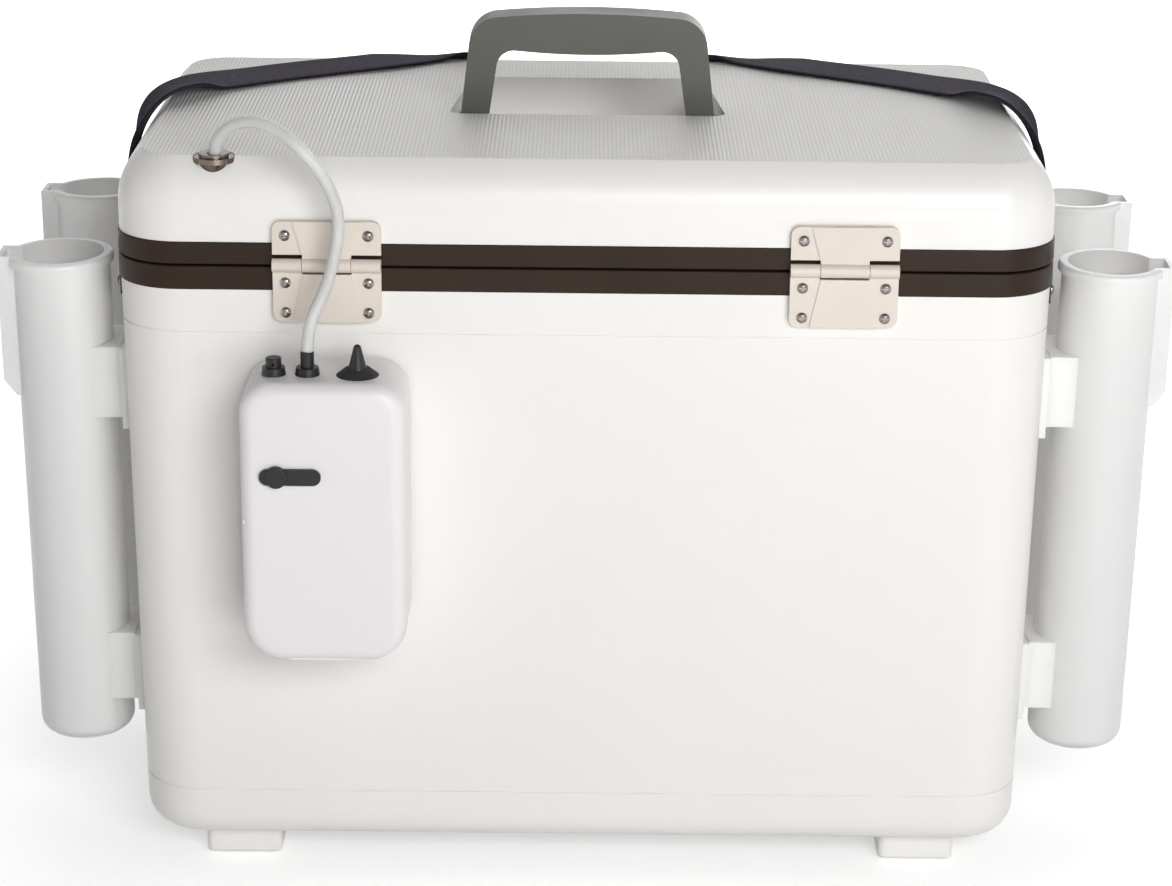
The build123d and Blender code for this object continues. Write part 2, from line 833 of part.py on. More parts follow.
def hinge_lower_leaf(centre):
    """Leaf on the box: plate, pads to the wall below the band, and the two outer knuckles."""
    with BuildPart() as leaf:
        with BuildSketch(Plane.XZ.offset(-leaf_back_y)):
            with BuildLine():
                Polyline(
                    (centre - hinge_half, lower_leaf_bottom),
                    (centre + hinge_half, lower_leaf_bottom),
                    (centre + hinge_half, hinge_axis_z),
                    (centre + hinge_half - outer_knuckle, hinge_axis_z),
                    (centre + hinge_half - outer_knuckle, lower_leaf_top),
                    (centre - hinge_half + outer_knuckle, lower_leaf_top),
                    (centre - hinge_half + outer_knuckle, hinge_axis_z),
                    (centre - hinge_half, hinge_axis_z),
                    (centre - hinge_half, lower_leaf_bottom),
                )
            make_face()
        extrude(amount=leaf_back_y - leaf_face_y)
        fillet(leaf.edges().filter_by(Axis.Y).group_by(Axis.Z)[0], leaf_corner)
        with BuildSketch(Plane.XZ.offset(-leaf_back_y)):
            with Locations((centre, (lower_leaf_bottom + band_bottom) / 2)):
                Rectangle(hinge_width - 2 * leaf_corner, band_bottom - lower_leaf_bottom - 2 * seat_gap)
        extrude(amount=-lower_pad)
        with BuildSketch(Plane.XZ.offset(-leaf_face_y)):
            with BuildLine():
                Polyline(
                    (centre - hinge_half + hinge_panel_edge, lower_leaf_bottom),
                    (centre + hinge_half - hinge_panel_edge, lower_leaf_bottom),
                    (centre + hinge_half - hinge_panel_waist, lower_leaf_top),
                    (centre - hinge_half + hinge_panel_waist, lower_leaf_top),
                    (centre - hinge_half + hinge_panel_edge, lower_leaf_bottom),
                )
            make_face()
        extrude(amount=hinge_panel_proud)
        for side in both_sides:
            with BuildSketch(Plane.YZ.offset(centre + side * hinge_half)):
                with Locations((hinge_axis_y, hinge_axis_z)):
                    Circle(knuckle_radius)
            extrude(amount=-side * outer_knuckle)
        with BuildSketch(Plane.YZ.offset(centre - hinge_half)):
            with Locations((hinge_axis_y, hinge_axis_z)):
                Circle(hinge_pin_radius + run_gap)
        extrude(amount=hinge_width, mode=Mode.SUBTRACT)
        with BuildSketch(*hinge_screw_ways(centre, (middle_screw_z, lower_screw_z))):
            Circle(shell_hole)
        extrude(amount=-shell_wall * 2, mode=Mode.SUBTRACT)
    return leaf.part


def hinge_upper_leaf(centre):
    """Leaf on the lid: plate and the wide centre knuckle."""
    tab_half = centre_knuckle / 2
    with BuildPart() as leaf:
        with BuildSketch(Plane.XZ.offset(-leaf_back_y)):
            with BuildLine():
                Polyline(
                    (centre - hinge_half, upper_leaf_top),
                    (centre + hinge_half, upper_leaf_top),
                    (centre + hinge_half, upper_leaf_bottom),
                    (centre + tab_half, upper_leaf_bottom),
                    (centre + tab_half, hinge_axis_z),
                    (centre - tab_half, hinge_axis_z),
                    (centre - tab_half, upper_leaf_bottom),
                    (centre - hinge_half, upper_leaf_bottom),
                    (centre - hinge_half, upper_leaf_top),
                )
            make_face()
        extrude(amount=leaf_back_y - leaf_face_y)
        fillet(leaf.edges().filter_by(Axis.Y).group_by(Axis.Z)[-1], leaf_corner)
        with BuildSketch(Plane.XZ.offset(-leaf_back_y)):
            with Locations((centre, (lid_band_top + upper_leaf_top) / 2)):
                Rectangle(hinge_width - 2 * leaf_corner, upper_leaf_top - lid_band_top - 2 * seat_gap)
        extrude(amount=-upper_pad)
        with BuildSketch(Plane.XZ.offset(-leaf_face_y)):
            with BuildLine():
                Polyline(
                    (centre - hinge_half + hinge_panel_edge, upper_leaf_top),
                    (centre + hinge_half - hinge_panel_edge, upper_leaf_top),
                    (centre + tab_half, upper_leaf_bottom),
                    (centre + tab_half, hinge_axis_z),
                    (centre - tab_half, hinge_axis_z),
                    (centre - tab_half, upper_leaf_bottom),
                    (centre - hinge_half + hinge_panel_edge, upper_leaf_top),
                )
            make_face()
        extrude(amount=hinge_panel_proud)
        with BuildSketch(Plane.YZ.offset(centre - tab_half)):
            with Locations((hinge_axis_y, hinge_axis_z)):
                Circle(knuckle_radius)
        extrude(amount=centre_knuckle)
        with BuildSketch(Plane.YZ.offset(centre - hinge_half)):
            with Locations((hinge_axis_y, hinge_axis_z)):
                Circle(hinge_pin_radius + run_gap)
        extrude(amount=hinge_width, mode=Mode.SUBTRACT)
        with BuildSketch(*hinge_screw_ways(centre, (upper_screw_z,))):
            Circle(shell_hole)
        extrude(amount=-shell_wall * 2, mode=Mode.SUBTRACT)
    return leaf.part


for side_name, side in (("left", -1), ("right", 1)):
    lower_leaf = hinge_lower_leaf(side * hinge_x)
    lower_leaf.label = "hinge_lower_leaf_" + side_name
    export_step(lower_leaf, "parts/hinge_lower_leaf_" + side_name + ".step")
    upper_leaf = hinge_upper_leaf(side * hinge_x)
    upper_leaf.label = "hinge_upper_leaf_" + side_name
    export_step(upper_leaf, "parts/hinge_upper_leaf_" + side_name + ".step")

with BuildPart() as hinge_pins:
    for side in both_sides:
        with BuildSketch(Plane.YZ.offset(side * hinge_x - hinge_half)):
            with Locations((hinge_axis_y, hinge_axis_z)):
                Circle(hinge_pin_radius)
        extrude(amount=hinge_width)
hinge_pins.part.label = "hinge_pins"
export_step(hinge_pins.part, "parts/hinge_pins.step")

# ---- handle ----
with BuildPart() as handle:
    with BuildSketch(Plane.XZ.offset(-handle_axis_y)):
        with BuildLine():
            Line((-handle_base_half, handle_axis_z), (-handle_top_half, handle_shoulder_z))
            ThreePointArc(
                (-handle_top_half, handle_shoulder_z), (0, handle_top), (handle_top_half, handle_shoulder_z)
            )
            Line((handle_top_half, handle_shoulder_z), (handle_base_half, handle_axis_z))
            Line((handle_base_half, handle_axis_z), (-handle_base_half, handle_axis_z))
        outer = make_face()
        fillet(outer.vertices().group_by(Axis.Y)[-1], handle_corner)
    extrude(amount=handle_depth / 2, both=True)
    with BuildSketch(Plane.XZ.offset(-handle_axis_y)):
        with BuildLine():
            inner_base = handle_base_half - handle_leg
            inner_top = handle_top_half - handle_leg
            Line((-inner_base, handle_axis_z - cut_past), (-inner_top, grip_under_z))
            ThreePointArc(
                (-inner_top, grip_under_z), (0, grip_under_z - grip_under_bow), (inner_top, grip_under_z)
            )
            Line((inner_top, grip_under_z), (inner_base, handle_axis_z - cut_past))
            Line((inner_base, handle_axis_z - cut_past), (-inner_base, handle_axis_z - cut_past))
        inner = make_face()
        fillet(inner.vertices().group_by(Axis.Y)[-1], handle_inner_corner)
    extrude(amount=handle_depth, both=True, mode=Mode.SUBTRACT)
    for side in both_sides:
        with BuildSketch(Plane.YZ.offset(side * handle_base_half)):
            with Locations((handle_axis_y, handle_axis_z)):
                Circle(handle_hub_radius)
        extrude(amount=-side * handle_leg)
    with BuildSketch(Plane.YZ.offset(-handle_base_half)):
        with Locations((handle_axis_y, handle_axis_z)):
            Circle(handle_pin_radius + run_gap)
    extrude(amount=2 * handle_base_half, mode=Mode.SUBTRACT)
handle.part.label = "handle"
export_step(handle.part, "parts/handle.step")

pin_inner = handle_base_half - handle_leg + part_gap
pin_outer = recess_half + handle_boss_depth - handle_boss_end - part_gap
with BuildPart() as handle_pins:
    for side in both_sides:
        with BuildSketch(Plane.YZ.offset(side * pin_inner)):
            with Locations((handle_axis_y, handle_axis_z)):
                Circle(handle_pin_radius)
        extrude(amount=side * (pin_outer - pin_inner))
handle_pins.part.label = "handle_pins"
export_step(handle_pins.part, "parts/handle_pins.step")

# ---- grommet ----
grommet_plug = hose_way(grommet_plug_radius, -grommet_radius, grommet_plug_length)
grommet_bore = hose_way(hose_radius + part_gap, -2 * grommet_radius, 2 * grommet_plug_length)
with BuildPart() as lid_grommet:
    add(grommet_plug)
    split(bisect_by=Plane.XY.offset(grommet_seat), keep=Keep.BOTTOM)
    with BuildSketch(Plane((grommet_x, grommet_y, grommet_seat))):
        Circle(grommet_radius)
    extrude(amount=grommet_flange)
    with BuildSketch(Plane((grommet_x, grommet_y, grommet_seat))):
        Circle(grommet_ring_radius)
    extrude(amount=grommet_ring_height)
    add(grommet_bore, mode=Mode.SUBTRACT)
lid_grommet.part.label = "lid_grommet"
export_step(lid_grommet.part, "parts/lid_grommet.step")


# ---- pump case ----
def pump_block(near_y, far_y, inset):
    """Slab with the pump's outline, from a near face to a far face, drawn in by an inset."""
    with BuildPart() as block:
        with BuildSketch(Plane.XZ.offset(-far_y)) as outline:
            with Locations((pump_x, (pump_bottom + pump_top) / 2)):
                Rectangle(pump_width - 2 * inset, pump_top - pump_bottom - 2 * inset)
            fillet(outline.vertices().group_by(Axis.Y)[0], pump_low_corner - inset)
            fillet(outline.vertices().group_by(Axis.Y)[-1], pump_high_corner - inset)
        extrude(amount=far_y - near_y)
    return block.part


pump_inner_y = pump_front_y + pump_wall
pump_inner_top = pump_top - pump_wall
cell_bottom = pump_bottom + pump_wall + cell_lift + contact_thick
shelf_bottom = cell_bottom + cell_length + cell_button + contact_thick
front_block = pump_block(pump_front_y, pump_seam_y, 0)
with BuildPart() as front_hollow:
    add(pump_block(pump_inner_y, pump_seam_y, pump_wall))
    fillet(front_hollow.faces().sort_by(Axis.Y)[0].edges(), pump_front_round - pump_wall)
front_space = front_hollow.part
case_screw_places = [
    (pump_x + side * (pump_width / 2 - case_screw_inset), height)
    for side in both_sides
    for height in (case_screw_low, case_screw_high)
]
case_screw_planes = far_planes(case_screw_places, pump_back_y - case_screw_sunk)
case_screw = pan_screw(case_head_radius, case_head_height, case_shank_radius, case_screw_length)
with BuildPart() as pump_front_case:
    add(front_block)
    fillet(pump_front_case.faces().sort_by(Axis.Y)[0].edges(), pump_front_round)
    add(front_space, mode=Mode.SUBTRACT)
    with BuildSketch(Plane((pump_x, (pump_inner_y + pump_seam_y) / 2, shelf_bottom))):
        Rectangle(pump_width - pump_wall, pump_seam_y - pump_inner_y)
    extrude(amount=shelf_thick)
    with BuildSketch(Plane((pump_x, (pump_inner_y + pump_seam_y) / 2, pump_bottom + pump_wall / 2))):
        Rectangle(cell_spacing, pump_seam_y - pump_inner_y)
    extrude(amount=pump_wall / 2 + cell_lift)
    for screw_x, screw_z in case_screw_places:
        with BuildSketch(Plane.XZ.offset(-pump_seam_y)):
            with Locations((screw_x, screw_z)):
                Circle(case_post_radius)
        extrude(amount=pump_seam_y - pump_inner_y)
    with BuildSketch(*case_screw_planes):
        Circle(case_shank_radius + hole_gap)
    extrude(amount=-(case_screw_length + screw_tip_gap), mode=Mode.SUBTRACT)
    for fitting_x in (nozzle_x, cap_x):
        with BuildSketch(Plane((fitting_x, fitting_y, pump_inner_top - cut_past))):
            Circle(spigot_radius + hole_gap)
        extrude(amount=pump_wall + 2 * cut_past, mode=Mode.SUBTRACT)
    with BuildSketch(Plane((switch_x, fitting_y, pump_inner_top - cut_past))):
        Circle(lever_ball_radius + part_gap)
    extrude(amount=pump_wall + 2 * cut_past, mode=Mode.SUBTRACT)
    with BuildSketch(Plane.XZ.offset(-pump_inner_y - cut_past)):
        with Locations((jack_x, jack_z)):
            Circle(jack_radius)
        with Locations((jack_knob_x, jack_z)):
            Circle(jack_pin_radius + run_gap)
    extrude(amount=pump_wall + 3 * cut_past, mode=Mode.SUBTRACT)
pump_front_case.part.label = "pump_front_case"
export_step(pump_front_case.part, "parts/pump_front_case.step")

back_block = pump_block(pump_seam_y, pump_back_y, 0)
back_space = pump_block(pump_seam_y, pump_back_y - pump_wall, pump_wall)
with BuildPart() as pump_back_cover:
    add(back_block)
    add(back_space, mode=Mode.SUBTRACT)
    for screw_x, screw_z in case_screw_places:
        with BuildSketch(Plane.XZ.offset(-pump_back_y)):
            with Locations((screw_x, screw_z)):
                Circle(case_seat_radius)
        extrude(amount=pump_back_y - pump_seam_y)
        with BuildSketch(Plane.XZ.offset(-pump_back_y)):
            with Locations((screw_x, screw_z)):
                Circle(case_head_radius + hole_gap)
        extrude(amount=case_screw_sunk, mode=Mode.SUBTRACT)
        with BuildSketch(Plane.XZ.offset(-pump_back_y)):
            with Locations((screw_x, screw_z)):
                Circle(case_shank_radius + hole_gap)
        extrude(amount=pump_back_y - pump_seam_y, mode=Mode.SUBTRACT)
pump_back_cover.part.label = "pump_back_cover"
export_step(pump_back_cover.part, "parts/pump_back_cover.step")

with BuildPart() as pump_screws:
    with Locations(*case_screw_planes):
        add(case_screw)
pump_screws.part.label = "pump_screws"
export_step(pump_screws.part, "parts/pump_screws.step")

# ---- pump bracket on the wall ----
with BuildPart() as pump_bracket:
    with BuildSketch(Plane.YZ.offset(pump_x - bracket_half)):
        with BuildLine():
            Polyline(
                (pump_back_y, bracket_low),
                (-wall_y(bracket_low), bracket_low),
                (-wall_y(bracket_high), bracket_high),
                (pump_back_y, bracket_high),
                (pump_back_y, bracket_low),
            )
        make_face()
    extrude(amount=2 * bracket_half)
    with BuildSketch(*near_planes(pump_bracket_places, pump_back_y)):
        Circle(wood_head_radius + hole_gap)
    extrude(amount=-(bracket_screw_face - pump_back_y), mode=Mode.SUBTRACT)
    with BuildSketch(*bracket_planes):
        Circle(small_hole)
    extrude(amount=-bracket_screw_length, mode=Mode.SUBTRACT)
pump_bracket.part.label = "pump_bracket"
export_step(pump_bracket.part, "parts/pump_bracket.step")

bracket_screw = wood_screw(bracket_screw_length)
with BuildPart() as bracket_screws:
    with Locations(*bracket_planes):
        add(bracket_screw)
bracket_screws.part.label = "bracket_screws"
export_step(bracket_screws.part, "parts/bracket_screws.step")

# ---- pump fittings ----
with BuildPart() as outlet_nozzle:
    with BuildSketch(Plane((nozzle_x, fitting_y, pump_top))):
        Circle(collar_radius)
    extrude(amount=collar_height, taper=fitting_taper)
    with BuildSketch(Plane((nozzle_x, fitting_y, pump_top))):
        Circle(nozzle_radius)
    extrude(amount=nozzle_tip - pump_top)
    with BuildSketch(Plane((nozzle_x, fitting_y, pump_top))):
        Circle(spigot_radius)
    extrude(amount=-pump_wall)
    with BuildSketch(Plane((nozzle_x, fitting_y, pump_inner_top))):
        Circle(air_bore)
    extrude(amount=nozzle_tip - pump_inner_top, mode=Mode.SUBTRACT)
outlet_nozzle.part.label = "outlet_nozzle"
export_step(outlet_nozzle.part, "parts/outlet_nozzle.step")

with BuildPart() as spare_outlet_cap:
    with BuildSketch(Plane((cap_x, fitting_y, pump_top))):
        Circle(collar_radius)
    extrude(amount=collar_height, taper=fitting_taper)
    with BuildSketch(Plane((cap_x, fitting_y, pump_top))):
        Circle(cap_radius)
    extrude(amount=cap_height)
    fillet(spare_outlet_cap.faces().sort_by(Axis.Z)[-1].edges(), fitting_round)
    with BuildSketch(Plane((cap_x, fitting_y, pump_top))):
        Circle(spigot_radius)
    extrude(amount=-pump_wall)
    with BuildSketch(Plane.XZ.offset(-fitting_y)):
        with Locations((cap_x, pump_top + cap_height - vent_drop)):
            Circle(air_bore / 2)
    extrude(amount=collar_radius, mode=Mode.SUBTRACT)
spare_outlet_cap.part.label = "spare_outlet_cap"
export_step(spare_outlet_cap.part, "parts/spare_outlet_cap.step")

# ---- switch ----
with BuildPart() as switch_boot:
    with BuildSketch(Plane((switch_x, fitting_y, pump_top))):
        Circle(boot_base_radius)
    with BuildSketch(Plane((switch_x, fitting_y, pump_top + boot_height))):
        Circle(boot_top_radius)
    loft()
    with BuildSketch(Plane((switch_x, fitting_y, pump_top))):
        Circle(lever_ball_radius + part_gap)
    extrude(amount=boot_height, mode=Mode.SUBTRACT)
switch_boot.part.label = "switch_boot"
export_step(switch_boot.part, "parts/switch_boot.step")

with BuildPart() as switch_lever:
    with BuildSketch(Plane.XZ):
        with BuildLine():
            Line((0, lever_tip_z), (0, lever_pivot_z - lever_ball_radius))
            ThreePointArc(
                (0, lever_pivot_z - lever_ball_radius),
                (lever_ball_radius, lever_pivot_z),
                (lever_base_radius, lever_pivot_z + (lever_ball_radius**2 - lever_base_radius**2) ** 0.5),
            )
            Line(
                (lever_base_radius, lever_pivot_z + (lever_ball_radius**2 - lever_base_radius**2) ** 0.5),
                (lever_tip_radius, lever_tip_z - lever_tip_radius),
            )
            RadiusArc((lever_tip_radius, lever_tip_z - lever_tip_radius), (0, lever_tip_z), -lever_tip_radius)
        make_face()
    revolve(axis=Axis.Z)
lever_part = switch_lever.part.moved(Location((switch_x, fitting_y, 0)))
lever_part.label = "switch_lever"
export_step(lever_part, "parts/switch_lever.step")

with BuildPart() as switch_body:
    with BuildSketch(Plane((switch_x, fitting_y, pump_inner_top - switch_body_depth))):
        Rectangle(2 * switch_body_half, 2 * switch_body_half)
    extrude(amount=switch_body_depth)
    with Locations((switch_x, fitting_y, lever_pivot_z)):
        Sphere(lever_ball_radius + part_gap, mode=Mode.SUBTRACT)
switch_body.part.label = "switch_body"
export_step(switch_body.part, "parts/switch_body.step")

# ---- jack ----
with BuildPart() as jack_socket:
    with BuildSketch(Plane.XZ.offset(-pump_inner_y)):
        with Locations((jack_x, jack_z)):
            Circle(jack_radius + jack_rim)
    extrude(amount=-jack_depth)
    with BuildSketch(Plane.XZ.offset(-pump_inner_y)):
        with Locations((jack_x, jack_z)):
            Circle(jack_radius - seat_gap)
            Circle(jack_pin_tip, mode=Mode.SUBTRACT)
    extrude(amount=jack_floor - jack_depth, mode=Mode.SUBTRACT)
jack_socket.part.label = "jack_socket"
export_step(jack_socket.part, "parts/jack_socket.step")

with BuildPart() as jack_cover:
    with BuildSketch(Plane.XZ.offset(-pump_front_y + part_gap)):
        with Locations(((jack_cover_left + jack_cover_right) / 2, jack_z)):
            SlotOverall(jack_cover_right - jack_cover_left, jack_cover_height)
    extrude(amount=jack_cover_thick)
    with BuildSketch(Plane.XZ.offset(-pump_front_y + part_gap)):
        with Locations((jack_knob_x, jack_z)):
            Circle(jack_knob_radius)
    extrude(amount=jack_knob_thick)
    fillet(jack_cover.faces().sort_by(Axis.Y)[0].edges(), fitting_round)
    with BuildSketch(Plane.XZ.offset(-pump_front_y + part_gap)):
        with Locations((jack_knob_x, jack_z)):
            Circle(jack_pin_radius)
    extrude(amount=-(pump_wall + part_gap))
jack_cover.part.label = "jack_cover"
export_step(jack_cover.part, "parts/jack_cover.step")

# ---- inside the pump ----
cell_places = [(pump_x - cell_spacing / 2, cell_y), (pump_x + cell_spacing / 2, cell_y)]
with BuildPart() as d_cells:
    for cell_x, cell_depth_y in cell_places:
        with BuildSketch(Plane((cell_x, cell_depth_y, cell_bottom))):
            Circle(cell_radius)
        extrude(amount=cell_length)
        with BuildSketch(Plane((cell_x, cell_depth_y, cell_bottom + cell_length))):
            Circle(cell_radius / 3)
        extrude(amount=cell_button)
d_cells.part.label = "d_cells"
export_step(d_cells.part, "parts/d_cells.step")

with BuildPart() as battery_contacts:
    with BuildSketch(Plane((pump_x, cell_y, cell_bottom - contact_thick))):
        Rectangle(cell_spacing + contact_width, contact_width)
    extrude(amount=contact_thick)
    with BuildSketch(Plane((pump_x, cell_y, shelf_bottom - contact_thick))):
        with GridLocations(cell_spacing, 1, 2, 1):
            Rectangle(contact_width, contact_width)
    extrude(amount=contact_thick)
battery_contacts.part.label = "battery_contacts"
export_step(battery_contacts.part, "parts/battery_contacts.step")

valve_x = pump_x - valve_left
eccentric_left = valve_x - eccentric_width / 2
motor_left = eccentric_left + eccentric_width + motor_gap
shaft_centre = (motor_y, motor_z)
with BuildPart() as pump_motor:
    with BuildSketch(Plane.YZ.offset(motor_left)):
        with Locations(shaft_centre):
            Circle(motor_radius)
    extrude(amount=motor_length)
    with BuildSketch(Plane.YZ.offset(eccentric_left)):
        with Locations(shaft_centre):
            Circle(motor_shaft_radius)
    extrude(amount=motor_left - eccentric_left)
    with BuildSketch(Plane((motor_left + motor_length / 2, motor_y, shelf_bottom + shelf_thick))):
        Rectangle(motor_length - 2 * motor_gap, motor_radius)
    extrude(amount=motor_z - shelf_bottom - shelf_thick)
pump_motor.part.label = "pump_motor"
export_step(pump_motor.part, "parts/pump_motor.step")

with BuildPart() as pump_eccentric:
    with BuildSketch(Plane.YZ.offset(eccentric_left)):
        with Locations((motor_y, motor_z + eccentric_throw)):
            Circle(eccentric_radius)
        with Locations(shaft_centre):
            Circle(motor_shaft_radius + run_gap, mode=Mode.SUBTRACT)
    extrude(amount=eccentric_width)
pump_eccentric.part.label = "pump_eccentric"
export_step(pump_eccentric.part, "parts/pump_eccentric.step")

follower_bottom = motor_z + eccentric_throw + eccentric_radius + part_gap
with BuildPart() as pump_diaphragm:
    with BuildSketch(Plane((valve_x, motor_y, valve_bottom - diaphragm_thick))):
        Circle(diaphragm_radius)
    extrude(amount=diaphragm_thick)
    with BuildSketch(Plane((valve_x, motor_y, follower_bottom))):
        Circle(follower_radius)
    extrude(amount=valve_bottom - diaphragm_thick - follower_bottom)
pump_diaphragm.part.label = "pump_diaphragm"
export_step(pump_diaphragm.part, "parts/pump_diaphragm.step")

with BuildPart() as pump_valve_block:
    with BuildSketch(Plane((valve_x, motor_y, valve_bottom))):
        RectangleRounded(2 * valve_half, 2 * valve_half, valve_corner)
    extrude(amount=pump_inner_top - valve_bottom)
    with BuildSketch(Plane((nozzle_x, fitting_y, pump_inner_top - valve_bore_depth))):
        Circle(air_bore)
    extrude(amount=valve_bore_depth, mode=Mode.SUBTRACT)
pump_valve_block.part.label = "pump_valve_block"
export_step(pump_valve_block.part, "parts/pump_valve_block.step")


# ---- rod holders ----
def side_slab(inner, outer, half, top_drop, height):
    """Slab in the rod holder frame between two distances on the box's side of the tube axis."""
    with BuildPart() as slab:
        with BuildSketch(tube_plane.offset(-top_drop - height)):
            with Locations((-(inner + outer) / 2, 0)):
                Rectangle(outer - inner, 2 * half)
        extrude(amount=height)
    return slab.part


neck_end = block_face + tongue_step
head_end = neck_end + tongue_step
holder_blocks = []
for drop in block_drops:
    holder_blocks.append(side_slab(tube_bore - channel_proud, block_face, block_half, drop, block_height))
    holder_blocks.append(side_slab(block_face, neck_end, tongue_neck, drop, tongue_height))
    holder_blocks.append(side_slab(neck_end, head_end, tongue_head, drop, tongue_height))

with BuildPart() as rod_holder:
    with BuildSketch(tube_plane.offset(-tube_length)):
        Circle(tube_radius)
    extrude(amount=tube_length)
    fillet(rod_holder.faces().sort_by(Axis.Z)[0].edges(), tube_bottom_round)
    with BuildSketch(tube_plane.offset(-bead_height)):
        Circle(bead_radius)
    extrude(amount=bead_height)
    fillet(rod_holder.faces().sort_by(Axis.Z)[-1].edges(), bead_height / 2 - hole_gap)
    add(holder_blocks)
    channel_out = tube_radius + channel_proud
    with BuildSketch(channel_plane):
        with BuildLine():
            Polyline(
                (tube_bore, 0),
                (channel_out, 0),
                (channel_out, -channel_length),
                (tube_radius, -channel_length - channel_ramp),
                (tube_bore, -channel_length - channel_ramp),
                (tube_bore, 0),
            )
        make_face()
    extrude(amount=channel_width / 2, both=True)
    with BuildSketch(tube_plane.offset(-tube_length + tube_floor)):
        Circle(tube_bore)
    extrude(amount=tube_length, mode=Mode.SUBTRACT)
    with BuildSketch(tube_plane.offset(-tube_length)):
        Circle(tube_drain)
    extrude(amount=tube_floor, mode=Mode.SUBTRACT)
    channel_in = channel_out - channel_wall
    with BuildSketch(channel_plane):
        with BuildLine():
            Polyline(
                (0, cut_past),
                (channel_in, cut_past),
                (channel_in, -channel_length + channel_wall),
                (tube_bore, -channel_length - channel_ramp + 2 * channel_wall),
                (0, -channel_length - channel_ramp + 2 * channel_wall),
                (0, cut_past),
            )
        make_face()
    extrude(amount=channel_width / 2 - channel_wall, both=True, mode=Mode.SUBTRACT)

holder_near_left = rod_holder.part
holder_far_left = mirror(holder_near_left, about=Plane.XZ)
holder_near_right = mirror(holder_near_left, about=Plane.YZ)
holder_far_right = mirror(holder_far_left, about=Plane.YZ)
for holder_name, holder in (
    ("rod_holder_near_left", holder_near_left),
    ("rod_holder_far_left", holder_far_left),
    ("rod_holder_near_right", holder_near_right),
    ("rod_holder_far_right", holder_far_right),
):
    holder.label = holder_name
    export_step(holder, "parts/" + holder_name + ".step")

receiver_back = tube_rim_x - wall_x(underside) + 2 * cut_past
with BuildPart() as rod_receivers:
    for drop in block_drops:
        add(side_slab(receiver_face, receiver_back, receiver_half, drop, receiver_height))
    for drop in block_drops:
        slot_height = tongue_height + slide_gap
        add(
            side_slab(receiver_face, neck_end, tongue_neck + slide_gap, drop, slot_height),
            mode=Mode.SUBTRACT,
        )
        add(
            side_slab(neck_end - slide_gap, head_end + slide_gap, tongue_head + slide_gap, drop, slot_height),
            mode=Mode.SUBTRACT,
        )
    add(shell_outside, mode=Mode.SUBTRACT)
    with BuildSketch(*receiver_planes):
        Circle(small_hole)
    extrude(amount=-receiver_head_depth - receiver_screw_length, mode=Mode.SUBTRACT)
    with BuildSketch(*receiver_planes):
        Circle(wood_head_radius + hole_gap)
    extrude(amount=-receiver_head_depth, mode=Mode.SUBTRACT)
    mirror(about=Plane.YZ)
    mirror(about=Plane.XZ)
rod_receivers.part.label = "rod_receivers"
export_step(rod_receivers.part, "parts/rod_receivers.step")

receiver_screw = wood_screw(receiver_screw_length)
with BuildPart() as receiver_screws:
    with Locations(*[plane.offset(-receiver_head_depth) for plane in all_receiver_planes]):
        add(receiver_screw)
receiver_screws.part.label = "receiver_screws"
export_step(receiver_screws.part, "parts/receiver_screws.step")

# ---- shoulder strap ----
# Each station has its place, as shares of half the lid's length and depth and as a height,
# and the direction that the webbing faces there.
half_length = lid_length / 2
half_depth = lid_depth / 2
strap_route = [
    ((-1.0081, -0.3087, 340), (-1, 0, 0)),
    ((-1.006, -0.2108, 360), (-0.99, 0, 0.12)),
    ((-0.9851, -0.0753, 376), (-0.82, 0, 0.57)),
    ((-0.9467, 0.0753, 384.8), (-0.4, 0, 0.92)),
    ((-0.8835, 0.2711, 385), (0, 0, 1)),
    ((-0.7597, 0.4819, 383.8), (0, 0, 1)),
    ((-0.6402, 0.6325, 383.6), (0, 0, 1)),
    ((-0.4994, 0.7786, 383.9), (0, 0.02, 1)),
    ((-0.4055, 0.9172, 383.4), (0, 0.03, 1)),
    ((-0.3329, 0.9985, 381), (0, 0.32, 0.95)),
    ((-0.2732, 1.0128, 367), (0, 0.81, 0.58)),
    ((-0.2049, 1.0354, 351.6), (0, 0.99, 0.11)),
    ((-0.0854, 1.0331, 342), (0, 1, 0)),
]
strap_left = [
    ((-strap_side_x, strap_side_y, clamp_low - strap_end_past), (-1, 0, 0)),
    ((-strap_side_x, strap_side_y, clamp_high + strap_straight), (-1, 0, 0)),
] + [
    ((share_x * half_length, share_y * half_depth, height), face)
    for (share_x, share_y, height), face in strap_route
]
strap_right = [
    ((-place[0], place[1], place[2]), (-face[0], face[1], face[2])) for place, face in strap_left
]
strap_stations = strap_left + strap_right[::-1]
strap_points = [Vector(*place) for place, face in strap_stations]
strap_length = sum((after - before).length for before, after in zip(strap_points, strap_points[1:]))
print("shoulder strap flat size", round(strap_length, 1), "x", strap_width)

with BuildPart() as shoulder_strap:
    for index, (place, face) in enumerate(strap_stations):
        before = strap_points[max(index - 1, 0)]
        after = strap_points[min(index + 1, len(strap_points) - 1)]
        along = (after - before).normalized()
        across = Vector(*face).cross(along).normalized()
        with BuildSketch(Plane(origin=place, x_dir=across, z_dir=along)):
            Rectangle(strap_width, strap_thick)
    loft(ruled=True)
shoulder_strap.part.label = "shoulder_strap"
export_step(shoulder_strap.part, "parts/shoulder_strap.step")

